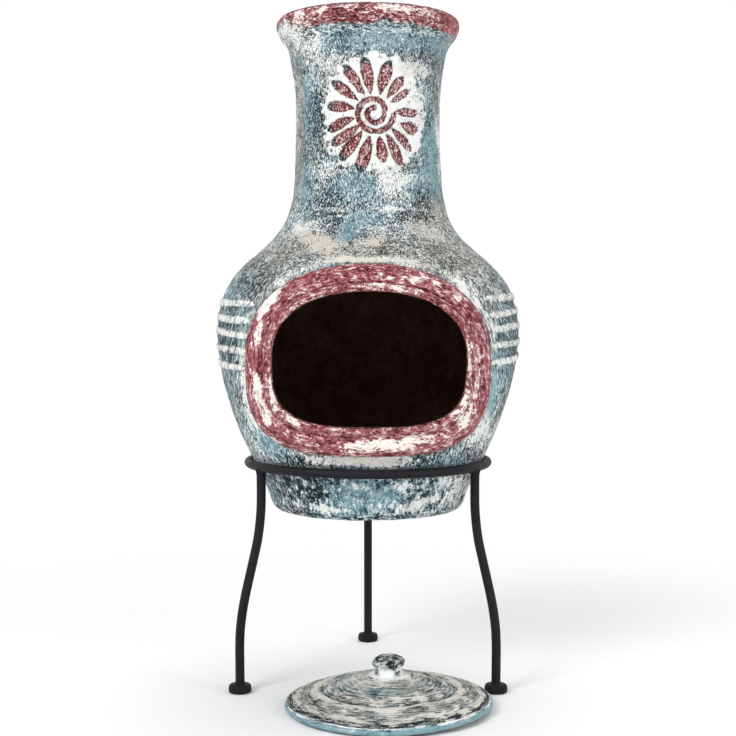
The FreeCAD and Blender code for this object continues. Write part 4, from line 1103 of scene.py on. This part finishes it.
# %% Painted clay material
def painted_clay():
    """The clay's finish: reads the painter's patches and breaks them up with the brushed skin."""
    material, tree, shader = new_material("painted_clay")
    brushed = add(tree, "Group", {}, node_tree=BRUSHED)
    plug(brushed, {"Strokes": stored(tree, "strokes"), "Place": object_place(tree)})
    skin, flecks, blotches, fine, chips = brushed.outputs
    blue, white, dark = parts(stored(tree, "patches"))
    calm, cream, dusty = parts(stored(tree, "manner"))
    red, soot = stored(tree, "red", "Fac"), stored(tree, "soot", "Fac")

    def patch(amount, low, high):
        """Where the painter laid that much, with an edge broken up by the skin and the blotches."""
        return mask(sum_of(amount, (skin, 0.5), (blotches, 0.5)), low + 0.5, high + 0.5)

    # where each colour goes
    in_blue, in_dust, in_cream = patch(blue, 0.35, 0.85), patch(dusty, 0.3, 0.9), patch(cream, 0.3, 0.8)
    in_red = mask(sum_of(red, (flecks, 0.5)), 0.65, 0.85)
    lowest = blend(in_red, UNDERCOAT, RED_UNDER)
    deep = blend(in_dust, blend(in_blue, DEEP_GREY, DEEP_BLUE), DEEP_DUST)
    middle = blend(in_dust, blend(in_blue, GREY, BLUE), DUST)
    middle = blend(times(in_cream, 0.7), middle, CREAMY)
    pale = blend(in_cream, PALE, CREAMY)
    deep, middle = blend(in_red, deep, DEEP_RED), blend(in_red, middle, RED)
    pale = blend(times(in_red, flecks), pale, ROSE)

    # how light the paint is
    in_white, in_dark = patch(white, 0.50, 0.78), patch(dark, 0.50, 0.90)
    level = sum_of(0.41, (white, 0.20), (dark, -0.20), (blotches, 0.32), (in_white, 0.30),
                   (in_dark, -0.14))
    plain_blue = times(patch(blue, 0.90, 1.20), calc("SUBTRACT", 1.0, in_red))
    to_blue = times(calc("SUBTRACT", 0.56, level), plain_blue)
    level = sum_of(level, (to_blue, 0.62))

    # how far the rough skin spreads it
    roughly = sum_of(-0.905, (skin, 0.98), (flecks, 0.52), (fine, 0.32))
    wild = sum_of(1.12, (calm, -0.62), (in_blue, -0.124), (plain_blue, -0.36), (in_dark, 0.40),
                  (in_white, -0.22))
    chipped = sum_of(0.26, (plain_blue, -0.16))
    tone = sum_of(level, (roughly, wild), (chips, chipped))

    colour = blend(mask(tone, 0.0, 0.24), lowest, deep)
    colour = blend(mask(tone, 0.24, 0.54), colour, middle)
    colour = blend(mask(tone, 0.60, 0.96), colour, pale)
    burnt = blend(times(blotches, fine), SOOT, SOOTY_BROWN)
    height = sum_of(0.0, (skin, 0.7), (flecks, 0.25), (fine, 0.10))
    plug(shader, {
        "Base Color": blend(mask(soot, 0.2, 0.9), colour, burnt),
        "Roughness": sum_of(0.68, (tone, 0.12)),
        "Normal": bump(times(height, wild), 0.6 * MM),
        "Specular IOR Level": 0.14,
    })
    return material


PAINTED = painted_clay()
print("painted clay:", len(PAINTED.node_tree.nodes), "nodes")

# %% [markdown]
# ## Iron, sand and caps
# The iron is powder coated: near black, satin, with a faint orange-peel skin. The caps are smoother.
# Sand is many grains, each its own brown, with grey ash and black soot over them in patches.

# %% Iron and caps
def coat_grain():
    """Group: a place and how many grains to a metre in, a fine orange-peel skin and a slow dullness out."""
    group, given, out = new_group("coat_grain", {"Place": "Vector", "Size": "Float"},
                                  {"Height": "Float", "Dullness": "Float"})
    place = given["Place"]
    scaled = add(group, "VectorMath", {0: place, "Scale": given["Size"]}, operation="SCALE").outputs[0]
    plug(out, {
        "Height": add(group, "TexNoise", {"Vector": scaled, "Scale": 1.0, "Detail": 3.0}).outputs[0],
        "Dullness": mask(noise(place, 25 * MM), 0.3, 0.7),
    })
    return group


GRAIN = coat_grain()


def satin_black(name, colour, worn, grain, relief, gloss):
    """Powder coat: a colour that wears paler, the grain's size and relief, and the least roughness."""
    material, tree, shader = new_material(name)
    coat = add(tree, "Group", {}, node_tree=GRAIN)
    plug(coat, {"Place": object_place(tree), "Size": 1 / grain})
    height, dull = coat.outputs
    plug(shader, {
        "Base Color": blend(times(dull, height), colour, worn),
        "Roughness": sum_of(gloss, (dull, 0.16)),
        "Normal": bump(height, relief, 0.8),
        "Specular IOR Level": 0.16,
    })
    return material


IRON = satin_black("black_iron", tint(19, 18, 21), tint(34, 33, 36), 1.6 * MM, 0.12 * MM, 0.44)
CAP = satin_black("black_cap", tint(17, 16, 18), tint(28, 27, 29), 1.0 * MM, 0.05 * MM, 0.5)

# %% Sand
def sand_and_ash():
    """Voronoi cells as grains, each with its own share of two browns, under patches of ash and soot."""
    material, tree, shader = new_material("sand_and_ash")
    place = object_place(tree)
    grains = add(tree, "TexVoronoi", {"Vector": place, "Scale": 1 / (1.1 * MM)}).outputs
    each = add(tree, "SeparateColor", {0: grains["Color"]}).outputs[0]
    colour = blend(each, tint(92, 78, 62), tint(158, 142, 120))
    ash = mask(noise(place, 22 * MM, 4.0), 0.45, 0.65)
    colour = blend(times(ash, 0.75), colour, tint(72, 66, 62))
    soot = mask(noise(place, 9 * MM, 4.0), 0.58, 0.68)
    plug(shader, {
        "Base Color": blend(soot, colour, tint(30, 26, 24)),
        "Roughness": 0.92,
        "Normal": bump(grains["Distance"], 0.5 * MM, 0.8, invert=True),
    })
    return material


SAND = sand_and_ash()
print("materials:", [material.name for material in bpy.data.materials])

# %% Put each piece on its body
FINISHES = {
    "fire_body": [
        (bowl, PAINTED, "blue_clay", "fire_bowl"),
        (neck, PAINTED, "blue_clay", "chimney_neck", "sun_rays", "sun_spiral"),
        (rim, PAINTED, "red_clay", "chimney_rim"),
        (band, PAINTED, "red_clay", "mouth_surround"),
        (ribs_left, PAINTED, "white_clay", "side_ribs_left"),
        (ribs_right, PAINTED, "white_clay", "side_ribs_right"),
        (sand, SAND, "sand", "sand_bed"),
    ],
    "lid": [(lid, PAINTED, "lid_clay", "lid_dome"), (knob, PAINTED, "lid_clay", "lid_knob")],
    "stand": [
        (stand_ring, IRON, "black_iron", "stand_ring"),
        *[(legs[side], IRON, "black_iron", f"leg_{side}") for side in SIDES],
        *[(caps[side], CAP, "black_cap", f"foot_{side}") for side in SIDES],
    ],
}
for body, pieces in FINISHES.items():
    for piece, material, slot, *nodes in pieces:
        piece.data.materials.append(material)
        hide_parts(*nodes)
        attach(piece, body)
    print(body, "carries", len(pieces), "pieces")

# %% [markdown]
# ## Studio
# A pale floor, soft lamps and a white world, as for a catalogue. The floor is white where only the
# camera sees it fade out, and keeps the soft shadow under the stand and the lid.

# %% Floor
FLOOR_REACH = 3.0
floor_mesh = bpy.data.meshes.new("floor")
corners = [(-1, -1), (1, -1), (1, 1), (-1, 1)]
floor_mesh.from_pydata([(x * FLOOR_REACH, y * FLOOR_REACH, 0) for x, y in corners], [], [(0, 1, 2, 3)])
floor = into_scene("floor", floor_mesh)
floor.location.z = -0.3 * MM


def pale_floor():
    """A matt floor near the object, which the camera sees fade into plain white further away."""
    material, tree, shader = new_material("pale_floor")
    tree.nodes.remove(shader)
    away = add(tree, "VectorMath", {0: object_place(tree)}, operation="LENGTH").outputs["Value"]
    matt = add(tree, "BsdfDiffuse", {"Color": (0.93, 0.93, 0.93, 1)}).outputs[0]
    white = add(tree, "Emission", {"Color": (1, 1, 1, 1), "Strength": 1.0}).outputs[0]
    fade = times(mask(away, 0.35, 0.95), add(tree, "LightPath").outputs["Is Camera Ray"])
    mixed = add(tree, "MixShader", {0: fade, 1: matt, 2: white}).outputs[0]
    plug(tree.nodes["Material Output"], {"Surface": mixed})
    return material


floor_mesh.materials.append(pale_floor())

# %% World and lamps
def white_world(strength):
    """Soft light all round, and plain white wherever the camera or a reflection sees past the object."""
    world = bpy.data.worlds.new("white_world")
    bpy.context.scene.world = world
    world.use_nodes = True
    tree = world.node_tree
    path = add(tree, "LightPath").outputs
    seen = calc("MAXIMUM", path["Is Camera Ray"], path["Is Glossy Ray"])
    seen = calc("MAXIMUM", seen, path["Is Transmission Ray"])
    level = add(tree, "MapRange", {"Value": seen, "To Min": strength, "To Max": 1.0}).outputs[0]
    plug(tree.nodes["Background"], {"Strength": level, "Color": (1, 1, 1, 1)})


def lamp(name, place, size, watts):
    """A round soft lamp, turned to the middle of the object."""
    light = bpy.data.lights.new(name, "AREA")
    light.shape, light.size, light.energy = "DISK", size, watts
    holder = into_scene(name, light)
    holder.location = place
    holder.rotation_euler = (Vector((0, 0, 0.4)) - Vector(place)).to_track_quat("-Z", "Y").to_euler()


white_world(0.60)
lamp("key", (-1.6, -2.2, 2.0), 1.4, 50)
lamp("fill", (2.2, -1.8, 1.2), 1.6, 22)
lamp("top", (0.2, 0.8, 2.6), 1.6, 18)

# %% Camera
camera = into_scene("camera", bpy.data.cameras.new("camera"))
camera.location = (0, -1.571, 0.4077)
camera.rotation_euler = (math.radians(90 - 2.13), 0, 0)
camera.data.lens, camera.data.sensor_width = 67.74, 36
bpy.context.scene.camera = camera
bpy.context.scene.view_settings.view_transform = "Standard"
